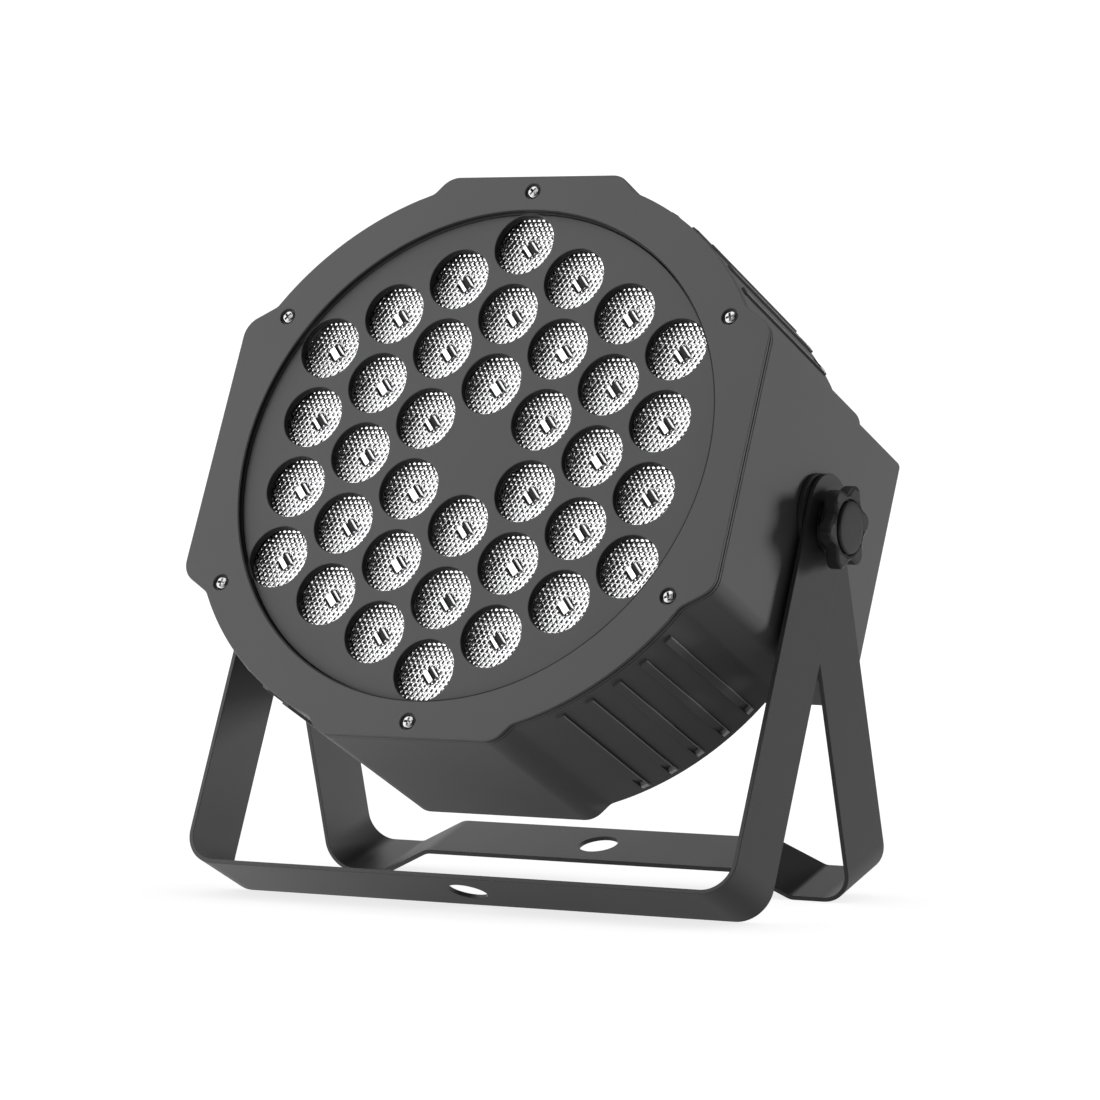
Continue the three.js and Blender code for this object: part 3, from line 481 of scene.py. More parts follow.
def plate(name, loops, low, high, edge=0.0):
    """A flat plate between two heights, from its outline and the loops of its holes."""
    flat = bpy.data.curves.new(name, "CURVE")
    flat.dimensions = "2D"
    flat.fill_mode = "BOTH"
    flat.extrude = (high - low) / 2 - edge
    flat.bevel_depth = edge
    flat.bevel_resolution = 1
    flat.offset = -edge
    for loop in loops:
        line = flat.splines.new("POLY")
        line.points.add(len(loop) - 1)
        for point, (x, y) in zip(line.points, loop):
            point.co = (x, y, 0, 1)
        line.use_cyclic_u = True
    piece = bpy.data.objects.new(name, flat)
    bpy.context.scene.collection.objects.link(piece)
    pick(piece)
    bpy.ops.object.convert(target="MESH")
    piece = bpy.context.object
    piece.data.transform(Matrix.Translation((0, 0, (low + high) / 2)))
    clean(piece)
    return piece


def turned(name, profile, steps=48, centre=(0, 0)):
    """A shape turned about z from (radius, height) points."""
    edges = [(i, i + 1) for i in range(len(profile) - 1)]
    piece = mesh_from(name, [(r, 0, h) for r, h in profile], edges)
    pick(piece)
    bpy.ops.object.mode_set(mode="EDIT")
    bpy.ops.mesh.select_all(action="SELECT")
    bpy.ops.mesh.spin(steps=steps, angle=math.tau, center=(0, 0, 0), axis=(0, 0, 1))
    bpy.ops.mesh.select_all(action="SELECT")
    bpy.ops.mesh.remove_doubles(threshold=0.001)
    bpy.ops.mesh.normals_make_consistent(inside=False)
    bpy.ops.object.mode_set(mode="OBJECT")
    piece.data.transform(Matrix.Translation((centre[0], centre[1], 0)))
    return piece


def block(name, low, high, edge=0.0, steps=2):
    """A block between two corners, with rounded edges."""
    low, high = Vector(low), Vector(high)
    deselect()
    bpy.ops.mesh.primitive_cube_add(size=1, location=(low + high) / 2)
    piece = bpy.context.object
    piece.name = name
    piece.scale = high - low
    bpy.ops.object.transform_apply(location=True, rotation=True, scale=True)
    if edge:
        bpy.ops.object.mode_set(mode="EDIT")
        bpy.ops.mesh.select_all(action="SELECT")
        bpy.ops.mesh.bevel(offset=edge, segments=steps, profile=0.5)
        bpy.ops.object.mode_set(mode="OBJECT")
    return piece


def block_at(name, centre, half, low, high, edge=0.0, steps=2):
    """A block about a point of the panel, between two heights."""
    (x, y), (w, h) = centre, half
    return block(name, (x - w, y - h, low), (x + w, y + h, high), edge, steps)


def join(name, pieces):
    pick(*pieces)
    if len(pieces) > 1:
        bpy.ops.object.join()
    piece = bpy.context.object
    piece.name = name
    piece.data.name = name
    return piece


def combine(piece, tool, operation):
    """A boolean with a tool, which is then used up."""
    cut = piece.modifiers.new("Cut", "BOOLEAN")
    cut.object = tool
    cut.operation = operation
    cut.solver = "EXACT"
    cut.use_self = False
    pick(piece)
    bpy.ops.object.modifier_apply(modifier=cut.name)
    bpy.data.objects.remove(tool)
    return piece


def settle(piece, place, body, material, replaces=(), angle=35):
    """Shades a piece, moves its mesh to its place and hands it to its body."""
    clean(piece)
    shade(piece, angle)
    piece.data.transform(place)
    piece.data.materials.clear()
    piece.data.materials.append(MATERIALS[material])
    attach(piece, body)
    if replaces:
        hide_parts(*replaces)
    return piece


def copy_of(piece, name):
    twin = piece.copy()
    twin.data = piece.data.copy()
    twin.name = name
    twin.data.name = name
    bpy.context.scene.collection.objects.link(twin)
    return twin


def ring(radius, steps=48, centre=(0, 0)):
    return [
        (
            centre[0] + radius * math.cos(math.tau * i / steps),
            centre[1] + radius * math.sin(math.tau * i / steps),
        )
        for i in range(steps)
    ]


def four(x, y):
    return [(x, y), (-x, y), (-x, -y), (x, -y)]


# ---- The head's outline -------------------------------------------------------------------------
def rounded(before, corner, after, radius, steps):
    """The points of a corner rounded to a radius, between its two neighbours."""
    back = (before - corner).normalized()
    ahead = (after - corner).normalized()
    opening = math.acos(max(-1.0, min(1.0, back.dot(ahead))))
    reach = radius / math.tan(opening / 2)
    centre = corner + (back + ahead).normalized() * (radius / math.sin(opening / 2))
    start = corner + back * reach - centre
    end = corner + ahead * reach - centre
    first = math.atan2(start.y, start.x)
    sweep = math.atan2(end.y, end.x) - first
    sweep = (sweep + math.pi) % math.tau - math.pi
    points = []
    for i in range(steps + 1):
        angle = first + sweep * i / steps
        points.append(centre + Vector((math.cos(angle), math.sin(angle))) * radius)
    return points


def meets_shoulder(corner, way):
    """The angle about the shoulder's centre where a slope from a corner meets it."""
    start = corner - Vector((SHOULDER_SHIFT, 0))
    along = start.dot(way)
    reach = -along - math.sqrt(along**2 - start.length_squared + SHOULDER**2)
    point = start + way * reach
    return math.atan2(point.y, point.x)


def head_quarter():
    """From the middle of the side, over the shoulder, to the middle of the top."""
    side = Vector((HALF_WIDTH, SIDE_FLAT))
    top = Vector((TOP_FLAT, HALF_HEIGHT))
    side_angle, top_angle = math.radians(SIDE_SLOPE), math.radians(TOP_SLOPE)
    first = meets_shoulder(side, Vector((-math.cos(side_angle), math.sin(side_angle))))
    last = meets_shoulder(top, Vector((math.cos(top_angle), -math.sin(top_angle))))
    centre = Vector((SHOULDER_SHIFT, 0))
    arc = []
    for i in range(25):
        angle = first + (last - first) * i / 24
        arc.append(centre + Vector((math.cos(angle), math.sin(angle))) * SHOULDER)
    return [
        *rounded(Vector((HALF_WIDTH, 0)), side, arc[0], CORNER, 8),
        *rounded(side, arc[0], arc[1], FILLET, 4),
        *arc[2:-2],
        *rounded(arc[-2], arc[-1], top, FILLET, 4),
        *rounded(arc[-1], top, Vector((0, HALF_HEIGHT)), CORNER, 8),
    ]


def head_outline(inwards=0.0):
    quarter = head_quarter()
    back = quarter[::-1]
    points = [
        *quarter,
        *[Vector((-p.x, p.y)) for p in back],
        *[Vector((-p.x, -p.y)) for p in quarter],
        *[Vector((p.x, -p.y)) for p in back],
    ]
    if not inwards:
        return [tuple(p) for p in points]
    moved = []
    for i, point in enumerate(points):
        before = (point - points[i - 1]).normalized()
        after = (points[(i + 1) % len(points)] - point).normalized()
        normal = Vector((-before.y - after.y, before.x + after.x)).normalized()
        share = normal.dot(Vector((-before.y, before.x)))
        moved.append(tuple(point + normal * (inwards / share)))
    return moved


def lens_places():
    places = []
    for i in range(-3, 4):
        for j in range(-3, 4):
            if abs(i + j) <= 3 and (i or j):
                x = j * LENS_PITCH * math.sqrt(3) / 2
                places.append((x, (i + j / 2) * LENS_PITCH))
    return places


FRONT_SCREWS = [*four(84.35, 48.7), (0, 94.7), (0, -94.7)]
REAR_SCREWS = four(93.2, 37.3)
FAN_SCREWS = four(25, 25)


# ---- Front frame and face plate -----------------------------------------------------------------
def make_front_frame():
    """Two layers with a fine groove between them and a near-black ring round the rim's hole as a
    painted shadow line, bored for the six screws.
    """
    bores = [ring(SCREW_BORE, 32, at) for at in FRONT_SCREWS]
    face = plate(
        "face",
        [head_outline(), ring(FRAME_HOLE + SHADOW_RING_WIDTH, 180), *bores],
        FRAME_SPLIT,
        FACE_FRONT,
        0.28,
    )
    groove = plate(
        "groove",
        [head_outline(1.1), ring(FRAME_HOLE + 0.3, 180)],
        FRAME_SPLIT - 0.5,
        FRAME_SPLIT + 0.02,
    )
    rim = plate(
        "rim", [head_outline(), ring(FRAME_HOLE, 180)], FRAME_BACK, FRAME_SPLIT - 0.45, 0.12
    )
    collar = turned(
        "collar", [(87.4, 50.4), (89.4, 50.4), (89.4, 55.3), (87.4, 55.3), (87.4, 50.4)], 180
    )
    piece = join("front_ring", [face, groove, rim, collar])
    settle(piece, HEAD, "head", "housing", ["front_frame"])
    # A near-black ring fills the gap at the hole's edge: a painted shadow line.
    low, high = MASK_FACE + 0.2, FACE_FRONT - 0.1
    inner, outer = FRAME_HOLE, FRAME_HOLE + SHADOW_RING_WIDTH
    profile = [(inner, low), (outer, low), (outer, high), (inner, high), (inner, low)]
    settle(turned("rim_painted_shadow", profile, 180), HEAD, "head", "dark")


def darken_walls(piece):
    """Gives the faces that run along the lamp's axis a near-black painted shade."""
    piece.data.materials.append(MATERIALS["dark"])
    for face in piece.data.polygons:
        if abs(face.normal.dot(FACE)) < 0.3:
            face.material_index = 1


def make_face_plate():
    """The round plate with its thirty-six lens holes."""
    holes = [ring(LENS_HOLE, 64, at) for at in lens_places()]
    piece = plate(
        "face_plate", [ring(MASK_RADIUS, 180), *holes], MASK_BACK, MASK_FACE, 0.3
    )
    settle(piece, HEAD, "head", "mask", ["lens_mask"])
    # The lens holes' walls take the painted shade.
    darken_walls(piece)


# ---- Lenses -------------------------------------------------------------------------------------
def bead_height(x, y, pitch, crown):
    """The height of the nearest round bead on a triangular lattice."""
    row = pitch * math.sqrt(3) / 2
    j = round(y / row)
    nearest = 9.0
    for k in (j - 1, j, j + 1):
        shift = pitch / 2 if k % 2 else 0.0
        across = round((x - shift) / pitch) * pitch + shift
        nearest = min(nearest, math.hypot(x - across, y - k * row))
    return math.sqrt(max(crown**2 - nearest**2, 0.01)) - crown


def lens_surface(x, y):
    bowl = 0.008 * (x * x + y * y) - 1.6
    return bowl + bead_height(x, y, 1.88, 1.5)


def make_lens_top():
    """A beaded, slightly dished disc, whose skirt narrows to the foot."""
    deselect()
    bpy.ops.mesh.primitive_grid_add(x_subdivisions=84, y_subdivisions=84, size=23.2)
    disc = bpy.context.object
    disc.name = "lens"
    for vertex in disc.data.vertices:
        x, y = vertex.co.x, vertex.co.y
        far = max(abs(x), abs(y))
        if far > 0:
            share = far / math.hypot(x, y)
            vertex.co.x, vertex.co.y = x * share, y * share
    for vertex in disc.data.vertices:
        vertex.co.z = lens_surface(vertex.co.x, vertex.co.y)
    bpy.ops.object.mode_set(mode="EDIT")
    bpy.ops.mesh.select_all(action="SELECT")
    bpy.ops.mesh.region_to_loop()
    for drop, size in ((1.2, 1.0), (9.6, 0.52)):
        bpy.ops.mesh.extrude_region_move(
            TRANSFORM_OT_translate={"value": (0, 0, -drop)}
        )
        bpy.ops.transform.resize(value=(size, size, 1), center_override=(0, 0, 0))
    bpy.ops.mesh.edge_face_add()
    bpy.ops.object.mode_set(mode="OBJECT")
    return disc


def make_die(tilt):
    """The lit die seen through the lens: a ridged square, its ridges along the diagonal."""
    ridge = [
        (-2.7, -0.6),
        (-2.7, 0.5),
        (-2.2, 0.9),
        (-1.9, 0.3),
        (-1.6, 0.9),
        (0.1 + tilt, 1.2),
        (0.2 + tilt, 0.5),
        (1.7, 1.3),
        (1.9, 0.6),
        (2.3, 1.1),
        (2.7, 0.5),
        (2.7, -0.6),
    ]
    half = 2.3
    count = len(ridge)
    points = [(u, -half, h) for u, h in ridge] + [(u, half, h) for u, h in ridge]
    faces = [
        (i, (i + 1) % count, count + (i + 1) % count, count + i) for i in range(count)
    ]
    faces.append(tuple(range(count - 1, -1, -1)))
    faces.append(tuple(range(count, 2 * count)))
    die = mesh_from("die", points, (), faces)
    die.data.transform(Matrix.Translation((0, 0, -1.9)) @ Matrix.Rotation(math.radians(42), 4, "Z"))
    # Four ridge faces take the near-black painted shade.
    for face in (3, 5, 6, 9):
        die.data.polygons[face].material_index = 1
    return die


def make_lenses():
    masters = []
    for k, tilt in enumerate((0.0, 0.5, -0.6)):
        parts = [make_lens_top(), make_die(tilt)]
        for part in parts:
            part.data.materials.append(MATERIALS["lens"])
            part.data.materials.append(MATERIALS["dark"])
        piece = join(f"lens_master_{k}", parts)
        pick(piece)
        bpy.ops.object.shade_smooth_by_angle(angle=math.radians(25))
        masters.append(piece)
    for k, (x, y) in enumerate(lens_places()):
        piece = copy_of(masters[(k * 2 + k // 5) % 3], f"lens_{k + 1:02d}")
        lay = Matrix.Translation((x, y, LENS_RIM))
        piece.data.transform(HEAD @ lay)
        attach(piece, "head")
        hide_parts("lens_array")
    for piece in masters:
        bpy.data.objects.remove(piece)


# ---- Housing ------------------------------------------------------------------------------------
def to_shoulders(name, piece):
    """Copies a piece drawn on the x axis to each rib's place on all four shoulders."""
    copies = []
    for k in range(5):
        turn = Matrix.Rotation(math.radians(RIB_FIRST + k * RIB_PITCH), 4, "Z")
        shift = Matrix.Translation((SHOULDER_SHIFT, 0, 0))
        for side, rise in four(1, 1):
            twin = copy_of(piece, name)
            twin.data.transform(Matrix.Diagonal((side, rise, 1, 1)) @ shift @ turn)
            if side * rise < 0:
                twin.data.flip_normals()
            copies.append(twin)
    bpy.data.objects.remove(piece)
    return join(name, copies)


def make_ribs():
    bar = block(
        "rib",
        (SHOULDER - 1.5, -RIB_WIDTH / 2, RIB_BACK),
        (SHOULDER + RIB_HEIGHT, RIB_WIDTH / 2, RIB_FRONT),
        0.28,
    )
    return to_shoulders("ribs", bar)


def make_rib_pockets():
    """The ramp that runs down to a small wall at the rear end of each rib."""
    side = RIB_WIDTH / 2 - 0.1
    low, high = RIB_BACK + 0.9, RIB_BACK + 10
    floor, top = SHOULDER - 1.1, SHOULDER + RIB_HEIGHT + 0.1
    points = [
        (x, y, z)
        for y in (-side, side)
        for x, z in ((floor, low), (top + 1, low), (top + 1, high), (top, high))
    ]
    faces = [
        (0, 1, 2, 3),
        (7, 6, 5, 4),
        (0, 4, 5, 1),
        (1, 5, 6, 2),
        (2, 6, 7, 3),
        (3, 7, 4, 0),
    ]
    return to_shoulders("pockets", mesh_from("pocket", points, (), faces))


def make_rib_stops():
    """The small stop that closes the rear end of each rib, its pale plastic painted light, and a
    pale strip along each rib's edge as a painted highlight.
    """
    # The stop's pale front wall is painted light in a shaded pocket.
    painted_light_stop = block(
        "painted_light_stop",
        (SHOULDER - 0.85, -RIB_WIDTH / 2 + 0.2, RIB_BACK + 0.6),
        (SHOULDER + RIB_HEIGHT - 0.05, RIB_WIDTH / 2 - 0.2, RIB_BACK + 2.4),
        0.12,
    )
    settle(to_shoulders("rib_stops", painted_light_stop), HEAD, "head", "painted_light_stop")
    # A pale strip along one upper edge of each rib: a painted highlight.
    line = block(
        "line",
        (SHOULDER + RIB_HEIGHT - 0.3, -RIB_WIDTH / 2 + 0.12, RIB_BACK + 2),
        (SHOULDER + RIB_HEIGHT + 0.03, -RIB_WIDTH / 2 + 0.5, RIB_FRONT - 0.2),
        0.1,
    )
    settle(to_shoulders("rib_edge_highlights", line), HEAD, "head", "painted_highlight")


def make_housing():
    shell = plate("housing", [head_outline()], DRUM_BACK, HOUSING_FRONT, 0.35)
    hump = block(
        "hump",
        (-HALF_WIDTH, -HUMP_HALF, HUMP_BACK),
        (HALF_WIDTH, HUMP_HALF, DRUM_BACK + 12),
        HUMP_EDGE,
        4,
    )
    combine(shell, hump, "UNION")
    combine(shell, make_ribs(), "UNION")
    combine(shell, make_rib_pockets(), "DIFFERENCE")
    room = plate("room", [head_outline(WALL)], WALL_FRONT, HOUSING_FRONT + 5)
    hollow = block(
        "hollow",
        (-HALF_WIDTH + WALL, -HUMP_HALF + WALL, HUMP_BACK - 5),
        (HALF_WIDTH - WALL, HUMP_HALF - WALL, WALL_FRONT + 3),
    )
    combine(shell, room, "DIFFERENCE")
    combine(shell, hollow, "DIFFERENCE")
    for side in (1, -1):
        bpy.ops.mesh.primitive_cylinder_add(
            radius=PIVOT_HOLE,
            depth=8,
            vertices=40,
            location=(side * HALF_WIDTH, 0, 0),
            rotation=(0, math.radians(90), 0),
        )
        bore = bpy.context.object
        bpy.ops.object.transform_apply(location=True, rotation=True, scale=True)
        combine(shell, bore, "DIFFERENCE")
    settle(shell, HEAD, "head", "housing", ["main_housing"])


# ---- Screws -------------------------------------------------------------------------------------
def make_screw_master(name, head, height, shank, length):
    """A pan-head screw with its head on z = 0 and a cross recess."""
    piece = turned(
        name,
        [
            (0, -length),
            (shank * 0.6, -length),
            (shank, -length + 0.8),
            (shank, 0),
            (head, 0),
            (head, height * 0.3),
            (head * 0.93, height * 0.62),
            (head * 0.75, height * 0.86),
            (head * 0.42, height * 0.98),
            (0, height),
        ],
        40,
    )
    reach, thick = head * 0.64, head * 0.17
    for half in ((reach, thick), (thick, reach)):
        bar = block_at("bar", (0, 0), half, height * 0.1, height + 1)
        combine(piece, bar, "DIFFERENCE")
    return piece


def make_screws(name, places, height, flip, head, material, length):
    """One screw at each place, every one turned by its own angle."""
    master = make_screw_master(name, head, 1.2, 1.45, length)
    for k, (x, y) in enumerate(places):
        piece = copy_of(master, f"{name}_{k + 1}_turned")
        turn = Matrix.Rotation(math.radians(19 + 31 * k), 4, "Z")
        lay = Matrix.Translation((x, y, height)) @ turn
        if flip:
            lay = lay @ Matrix.Rotation(math.pi, 4, "X")
        settle(piece, HEAD @ lay, "head", material, [f"{name}_{k + 1}"])
    bpy.data.objects.remove(master)


def make_all_screws():
    seat = FACE_FRONT - 1.3
    make_screws("front_screw", FRONT_SCREWS, seat, False, SCREW_HEAD, "screw", 13.6)
    back = PANEL_BACK - 0.15
    make_screws("rear_screw", REAR_SCREWS, back, True, 2.6, "steel", 7.8)
    make_screws("fan_screw", FAN_SCREWS, back, True, 2.6, "steel", 7.8)


# ---- Rear panel ---------------------------------------------------------------------------------
def rectangle(x, y, width, height):
    w, h = width / 2, height / 2
    return [(x - w, y - h), (x + w, y - h), (x + w, y + h), (x - w, y + h)]


def slot_loop(y, reach, width):
    """A long slot with round ends, across the fan."""
    points = []
    for side in (1, -1):
        for i in range(13):
            angle = math.radians(-90 + 15 * i)
            x = reach - width / 2 + width / 2 * math.cos(angle)
            points.append((side * x, y + side * width / 2 * math.sin(angle)))
    return points


def make_rear_panel():
    """The painted sheet that closes the hump, with its fan slots and the holes for its sockets."""
    slots = []
    for k in range(-4, 5):
        y = k * SLOT_PITCH
        slots.append(slot_loop(y, math.sqrt(FAN_BORE**2 - y**2) - 1, SLOT_WIDTH))
    holes = [
        rectangle(*INLET, *INLET_HOLE),
        rectangle(*WINDOW, *WINDOW_HOLE),
        ring(FUSE_HOLE, 40, FUSE),
        *[ring(SIGNAL_HOLE, 48, at) for at in SIGNAL],
        *[ring(BUTTON_HOLE, 32, (x, BUTTON_ROW)) for x in BUTTONS.values()],
        *[ring(SCREW_HOLE, 24, at) for at in REAR_SCREWS + FAN_SCREWS],
    ]
    edge = rectangle(0, 0, 2 * (HALF_WIDTH - WALL - 0.3), 2 * (HUMP_HALF - WALL - 0.3))
    sheet = plate("rear_sheet", [edge, *slots, *holes], PANEL_BACK, PANEL_FRONT, 0.2)
    settle(sheet, HEAD, "head", "panel", ["rear_panel"])


def make_inlet():
    """A three-pin mains inlet in a square flange."""
    x, y = INLET
    face = SOCKET_FACE
    body = block_at("inlet", INLET, (15.5, 12), face - FLANGE, face, 0.6, 3)
    shell = block_at("shell", INLET, (13.5, 10), face - 0.5, face + 22, 0.4)
    combine(body, shell, "UNION")
    well = block_at("well", INLET, (11.9, 8.4), face - 4, face + 14, 2.0, 3)
    combine(body, well, "DIFFERENCE")
    settle(body, HEAD, "head", "socket", ["power_inlet"])
    pins = []
    for across, up in ((-7, -1.8), (0, 2.2), (7, -1.8)):
        at = (x + across, y + up)
        pins.append(block_at("pin", at, (1, 2), face + 4, face + 15, 0.4, 3))
    settle(join("inlet_pins", pins), HEAD, "head", "contact")


def make_fuse():
    """A round fuse cap with a driver slot and a sloped edge."""
    face = SOCKET_FACE
    profile = [(0, face - 2.3), (6.7, face - 2.3), (7.4, face - 1.6), (7.5, face)]
    profile += [(6, face), (6, face + 23), (0, face + 23)]
    cap = turned("fuse_cap", profile, 48, FUSE)
    cut = block_at("cut", FUSE, (4, 0.6), face - 4, face - 1.4)
    combine(cap, cut, "DIFFERENCE")
    settle(cap, HEAD, "head", "socket", ["fuse_holder"])


def make_signal_socket(name, centre, male):
    """A round three-pole socket: pins in a deep well, or a face with three pin holes."""
    x, y = centre
    face = SOCKET_FACE
    body = block_at(name, centre, (12.5, 13.5), face - FLANGE, face, 0.8, 3)
    profile = [(0, face - 0.4), (10.5, face - 0.4), (10.5, face + 20), (0, face + 20)]
    combine(body, turned("barrel", profile, 64, centre), "UNION")
    floor = face + 13 if male else face + 3
    inner = 0 if male else 7.4
    well = [(inner, face - 3), (8.6, face - 3), (8.6, floor), (inner, floor), (inner, face - 3)]
    combine(body, turned("well", well[:-1] if male else well, 64, centre), "DIFFERENCE")
    poles = []
    for angle in (90, 210, 330):
        px = x + 4.2 * math.cos(math.radians(angle))
        py = y + 4.2 * math.sin(math.radians(angle))
        if male:
            profile = [(0, face + 3), (0.6, face + 3), (1.1, face + 3.7), (1.1, face + 13.5)]
            poles.append(turned("pole", profile + [(0, face + 13.5)], 24, (px, py)))
        else:
            profile = [(0, face - 3), (1.3, face - 3), (1.3, face + 9), (0, face + 9)]
            combine(body, turned("hole", profile, 24, (px, py)), "DIFFERENCE")
    for k, (sx, sy) in enumerate(((-9.7, 10.7), (9.7, -10.7))):
        mark = make_screw_master("mark", 1.9, 0.8, 0.9, 1.6)
        flip = Matrix.Rotation(math.pi, 4, "X")
        mark.data.transform(Matrix.Translation((x + sx, y + sy, face - FLANGE)) @ flip)
        mark.name = f"{name}_screw_{k + 1}"
        settle(mark, HEAD, "head", "steel")
    settle(body, HEAD, "head", "socket", [name])
    if male:
        settle(join(f"{name}_poles", poles), HEAD, "head", "contact")


def make_window():
    """A dark window for the menu's digits, crowned a little at its edges."""
    back, front = PANEL_BACK - 0.4, PANEL_FRONT + 0.4
    glass = block_at("window", WINDOW, (17.7, 6.7), back, front, 0.35, 3)
    lip = block_at("lip", WINDOW, (19.3, 8.3), front - 0.1, front + 0.9, 0.3)
    combine(glass, lip, "UNION")
    settle(glass, HEAD, "head", "window", ["display_window"])


def make_buttons():
    """Four crowned menu buttons, each on its own travelling body."""
    out, flange = PANEL_BACK - 1.9, PANEL_FRONT + 0.3
    back = PANEL_FRONT + 3.8
    for word, x in BUTTONS.items():
        profile = [(0, out), (1.4, out + 0.06), (2.3, out + 0.25), (2.7, out + 0.6)]
        profile += [(2.8, out + 1.0), (2.8, flange), (3.8, flange), (3.8, flange + 1)]
        profile += [(1.4, flange + 1), (1.4, back), (0, back)]
        piece = turned(f"{word}_button_cap", profile, 40, (x, BUTTON_ROW))
        settle(piece, HEAD, f"button_{word}", "button", [f"button_{word}"])


# ---- Yokes --------------------------------------------------------------------------------------
def bent_path(corners):
    """Stations (distance, point, heading) along straight runs with round bends between them."""
    points = [Vector((x, y)) for x, y, _ in corners]
    stations = []
    here, heading, travelled = points[0], None, 0.0
    for k in range(1, len(points)):
        way = (points[k] - points[k - 1]).normalized()
        heading = math.atan2(way.y, way.x)
        if not stations:
            stations.append((0.0, here.copy(), heading))
        if k == len(points) - 1:
            travelled += (points[k] - here).length
            stations.append((travelled, points[k].copy(), heading))
            break
        onward = (points[k + 1] - points[k]).normalized()
        turn = math.atan2(way.x * onward.y - way.y * onward.x, way.dot(onward))
        bend = corners[k][2]
        reach = bend * math.tan(abs(turn) / 2)
        start = points[k] - way * reach
        travelled += (start - here).length
        stations.append((travelled - 0.5, start - way * 0.5, heading))
        side = 1 if turn > 0 else -1
        normal = Vector((-way.y, way.x)) * side
        centre = start + normal * bend
        steps = max(4, round(abs(math.degrees(turn)) / 6))
        for i in range(steps + 1):
            angle = heading + turn * i / steps
            spoke = Vector((-math.sin(angle), math.cos(angle))) * side
            here = centre - spoke * bend
            stations.append((travelled + abs(turn) * bend * i / steps, here, angle))
        travelled += abs(turn) * bend
        heading += turn
        stations.append((travelled + 0.5, here + onward * 0.5, heading))
    return stations


def on_path(stations, s):
    """The point and heading at a distance along the path."""
    for (s0, p0, a0), (s1, p1, a1) in zip(stations, stations[1:]):
        if s <= s1 or s1 == stations[-1][0]:
            share = (s - s0) / max(s1 - s0, 1e-9)
            return p0.lerp(p1, share), a0 + (a1 - a0) * share
    return stations[-1][1], stations[-1][2]


def strap_outline(length):
    points = []
    for centre, first in ((length - STRAP_HALF, -90), (STRAP_HALF, 90)):
        for i in range(33):
            angle = math.radians(first + 180 * i / 32)
            points.append(
                (
                    centre + STRAP_HALF * math.cos(angle),
                    STRAP_HALF * math.sin(angle),
                )
            )
    return points


def make_strap(name, corners, place, body, node):
    """A flat blank with round ends and three holes, bent round the lamp."""
    stations = bent_path(corners)
    length = stations[-1][0]
    end = STRAP_HALF + STRAP_OVER
    holes = [
        ring(PIVOT_HOLE, 40, (end, 0)),
        ring(PIVOT_HOLE, 40, (length - end, 0)),
        ring(CLAMP_HOLE, 56, (length / 2, 0)),
    ]
    strap = plate(name, [strap_outline(length), *holes], 0, STRAP_THICK, 0.22)
    pick(strap)
    bpy.ops.object.mode_set(mode="EDIT")
    for s, _, _ in stations[1:-1]:
        bpy.ops.mesh.select_all(action="SELECT")
        bpy.ops.mesh.bisect(plane_co=(s, 0, 0), plane_no=(1, 0, 0))
    bpy.ops.object.mode_set(mode="OBJECT")
    for vertex in strap.data.vertices:
        s, across, depth = vertex.co
        point, heading = on_path(stations, s)
        inward = Vector((-math.sin(heading), math.cos(heading)))
        x, y = point + inward * depth
        vertex.co = (x, y, -across)
    settle(strap, place, body, "yoke", [node], 30)


def make_yokes():
    top = STRAP_HALF + STRAP_OVER
    make_strap(
        "outer_strap",
        [
            (-OUTER_SIDE, top, 0),
            (-OUTER_SIDE, -OUTER_REACH, OUTER_BEND),
            (OUTER_SIDE, -OUTER_REACH, OUTER_BEND),
            (OUTER_SIDE, top, 0),
        ],
        OUTER_ARM,
        "outer_yoke",
        "outer_yoke",
    )
    low, high = -INNER_REACH, INNER_RAISE - INNER_REACH
    make_strap(
        "inner_strap",
        [
            (-INNER_SIDE, top, 0),
            (-INNER_SIDE, low, INNER_BEND),
            (-FOOT_OUT, low, FOOT_BEND),
            (-FOOT_IN, high, FOOT_BEND),
            (FOOT_IN, high, FOOT_BEND),
            (FOOT_OUT, low, FOOT_BEND),
            (INNER_SIDE, low, INNER_BEND),
            (INNER_SIDE, top, 0),
        ],
        INNER_ARM,
        "inner_yoke",
        "inner_yoke",
    )


# ---- Clamp knobs --------------------------------------------------------------------------------
def side_frame(side):
    """Turns z out of the cheek on that side, with the head's up kept."""
    out = Vector((side, 0, 0))
    up = Vector((0, 1, 0))
    turn = Matrix((up.cross(out), up, out)).transposed()
    return HEAD @ turn.to_4x4()


def star_outline(radius, wave, lobes):
    points = []
    for i in range(144):
        angle = math.tau * i / 144
        reach = radius + wave * math.cos(lobes * angle)
        points.append((reach * math.sin(angle), reach * math.cos(angle)))
    return points[::-1]


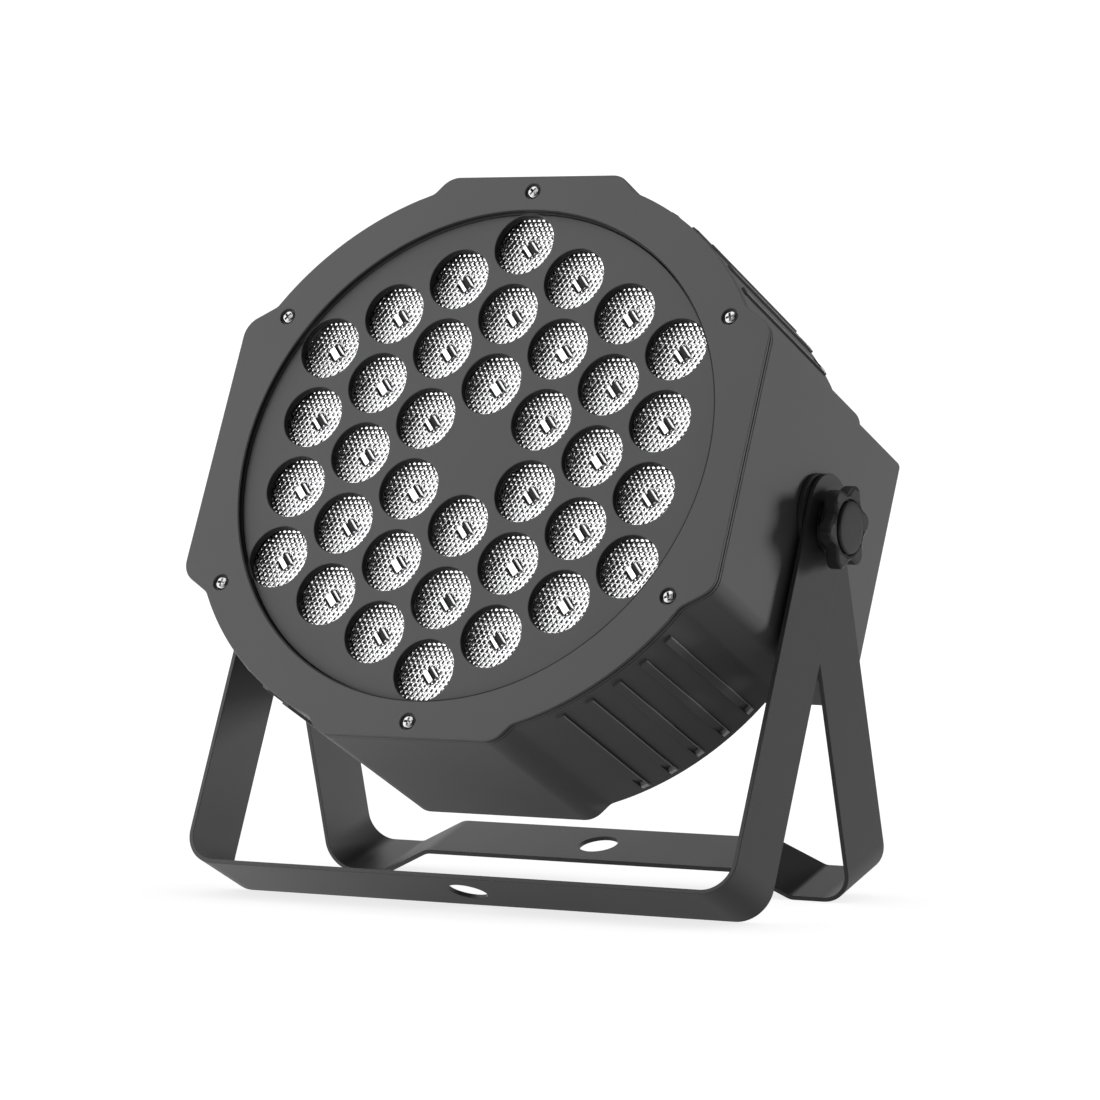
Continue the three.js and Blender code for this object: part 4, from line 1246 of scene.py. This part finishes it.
def make_knob(side, word):
    """One side's washer, lobed knob and round cap."""
    place = side_frame(side)
    low, high = WASHER_BACK, WASHER_FRONT
    profile = [(8.3, low), (8.5, low + 0.2), (8.5, high - 0.2), (8.3, high)]
    profile = [(PIVOT_HOLE, low), *profile, (PIVOT_HOLE, high), (PIVOT_HOLE, low)]
    washer = turned("washer", profile, 56)
    washer.name = f"{word}_flat_washer"
    settle(washer, place, f"{word}_washer", "washer", [f"{word}_knob_washer"])
    star = plate("star", [star_outline(12.7, 1.8, 6), ring(9.1, 56)], STAR_BACK, STAR_FRONT, 1.0)
    hub = turned(
        "hub",
        [
            (4.4, HUB_BACK),
            (8.7, HUB_BACK),
            (9.0, HUB_BACK + 0.3),
            (9.0, STAR_BACK + 0.4),
            (10.6, STAR_BACK + 0.7),
            (10.6, HUB_FRONT),
            (4.4, HUB_FRONT),
            (4.4, HUB_BACK),
        ],
        56,
    )
    knob = join(f"{word}_star_knob", [star, hub])
    settle(knob, place, f"{word}_knob", "knob", [f"{word}_knob"])
    cap = turned(
        "cap",
        [
            (0, CAP_BACK),
            (8.7, CAP_BACK),
            (8.8, CAP_BACK + 0.2),
            (8.8, CAP_FRONT - 1.0),
            (8.55, CAP_FRONT - 0.5),
            (8.0, CAP_FRONT - 0.2),
            (6.0, CAP_FRONT - 0.05),
            (0, CAP_FRONT),
        ],
        64,
    )
    cap.name = f"{word}_round_cap"
    settle(cap, place, f"{word}_knob", "knob", [f"{word}_knob_cap"])


def make_knobs():
    make_knob(1, "right")
    make_knob(-1, "left")


# ---- Frame pieces that keep their shape; the rest of them are steel -----------------------------
KEPT = {
    "led_board": "white board",
    "heat_sink": "aluminium",
    "control_board": "green board",
    "driver_board": "green board",
    "fan_frame": "fan",
    "fan_rotor": "fan",
    "mains_lead": "lead",
    "led_lead": "lead",
    "left_cheek_insert": "brass",
    "right_cheek_insert": "brass",
    "left_knob_stud": "steel",
    "right_knob_stud": "steel",
}


def finish_kept_nodes():
    for name, node in frame["nodes"].items():
        if node.hide_render:
            continue
        node.data.materials.clear()
        node.data.materials.append(MATERIALS[KEPT.get(name, "steel")])


add_camera()
add_lights()
light_room()
add_floor()
make_front_frame()
make_face_plate()
make_lenses()
make_housing()
make_rib_stops()
make_all_screws()
make_rear_panel()
make_inlet()
make_fuse()
make_signal_socket("dmx_in", SIGNAL[0], True)
make_signal_socket("dmx_out", SIGNAL[1], False)
make_window()
make_buttons()
make_yokes()
make_knobs()
finish_kept_nodes()
bpy.context.scene.view_settings.view_transform = "Standard"
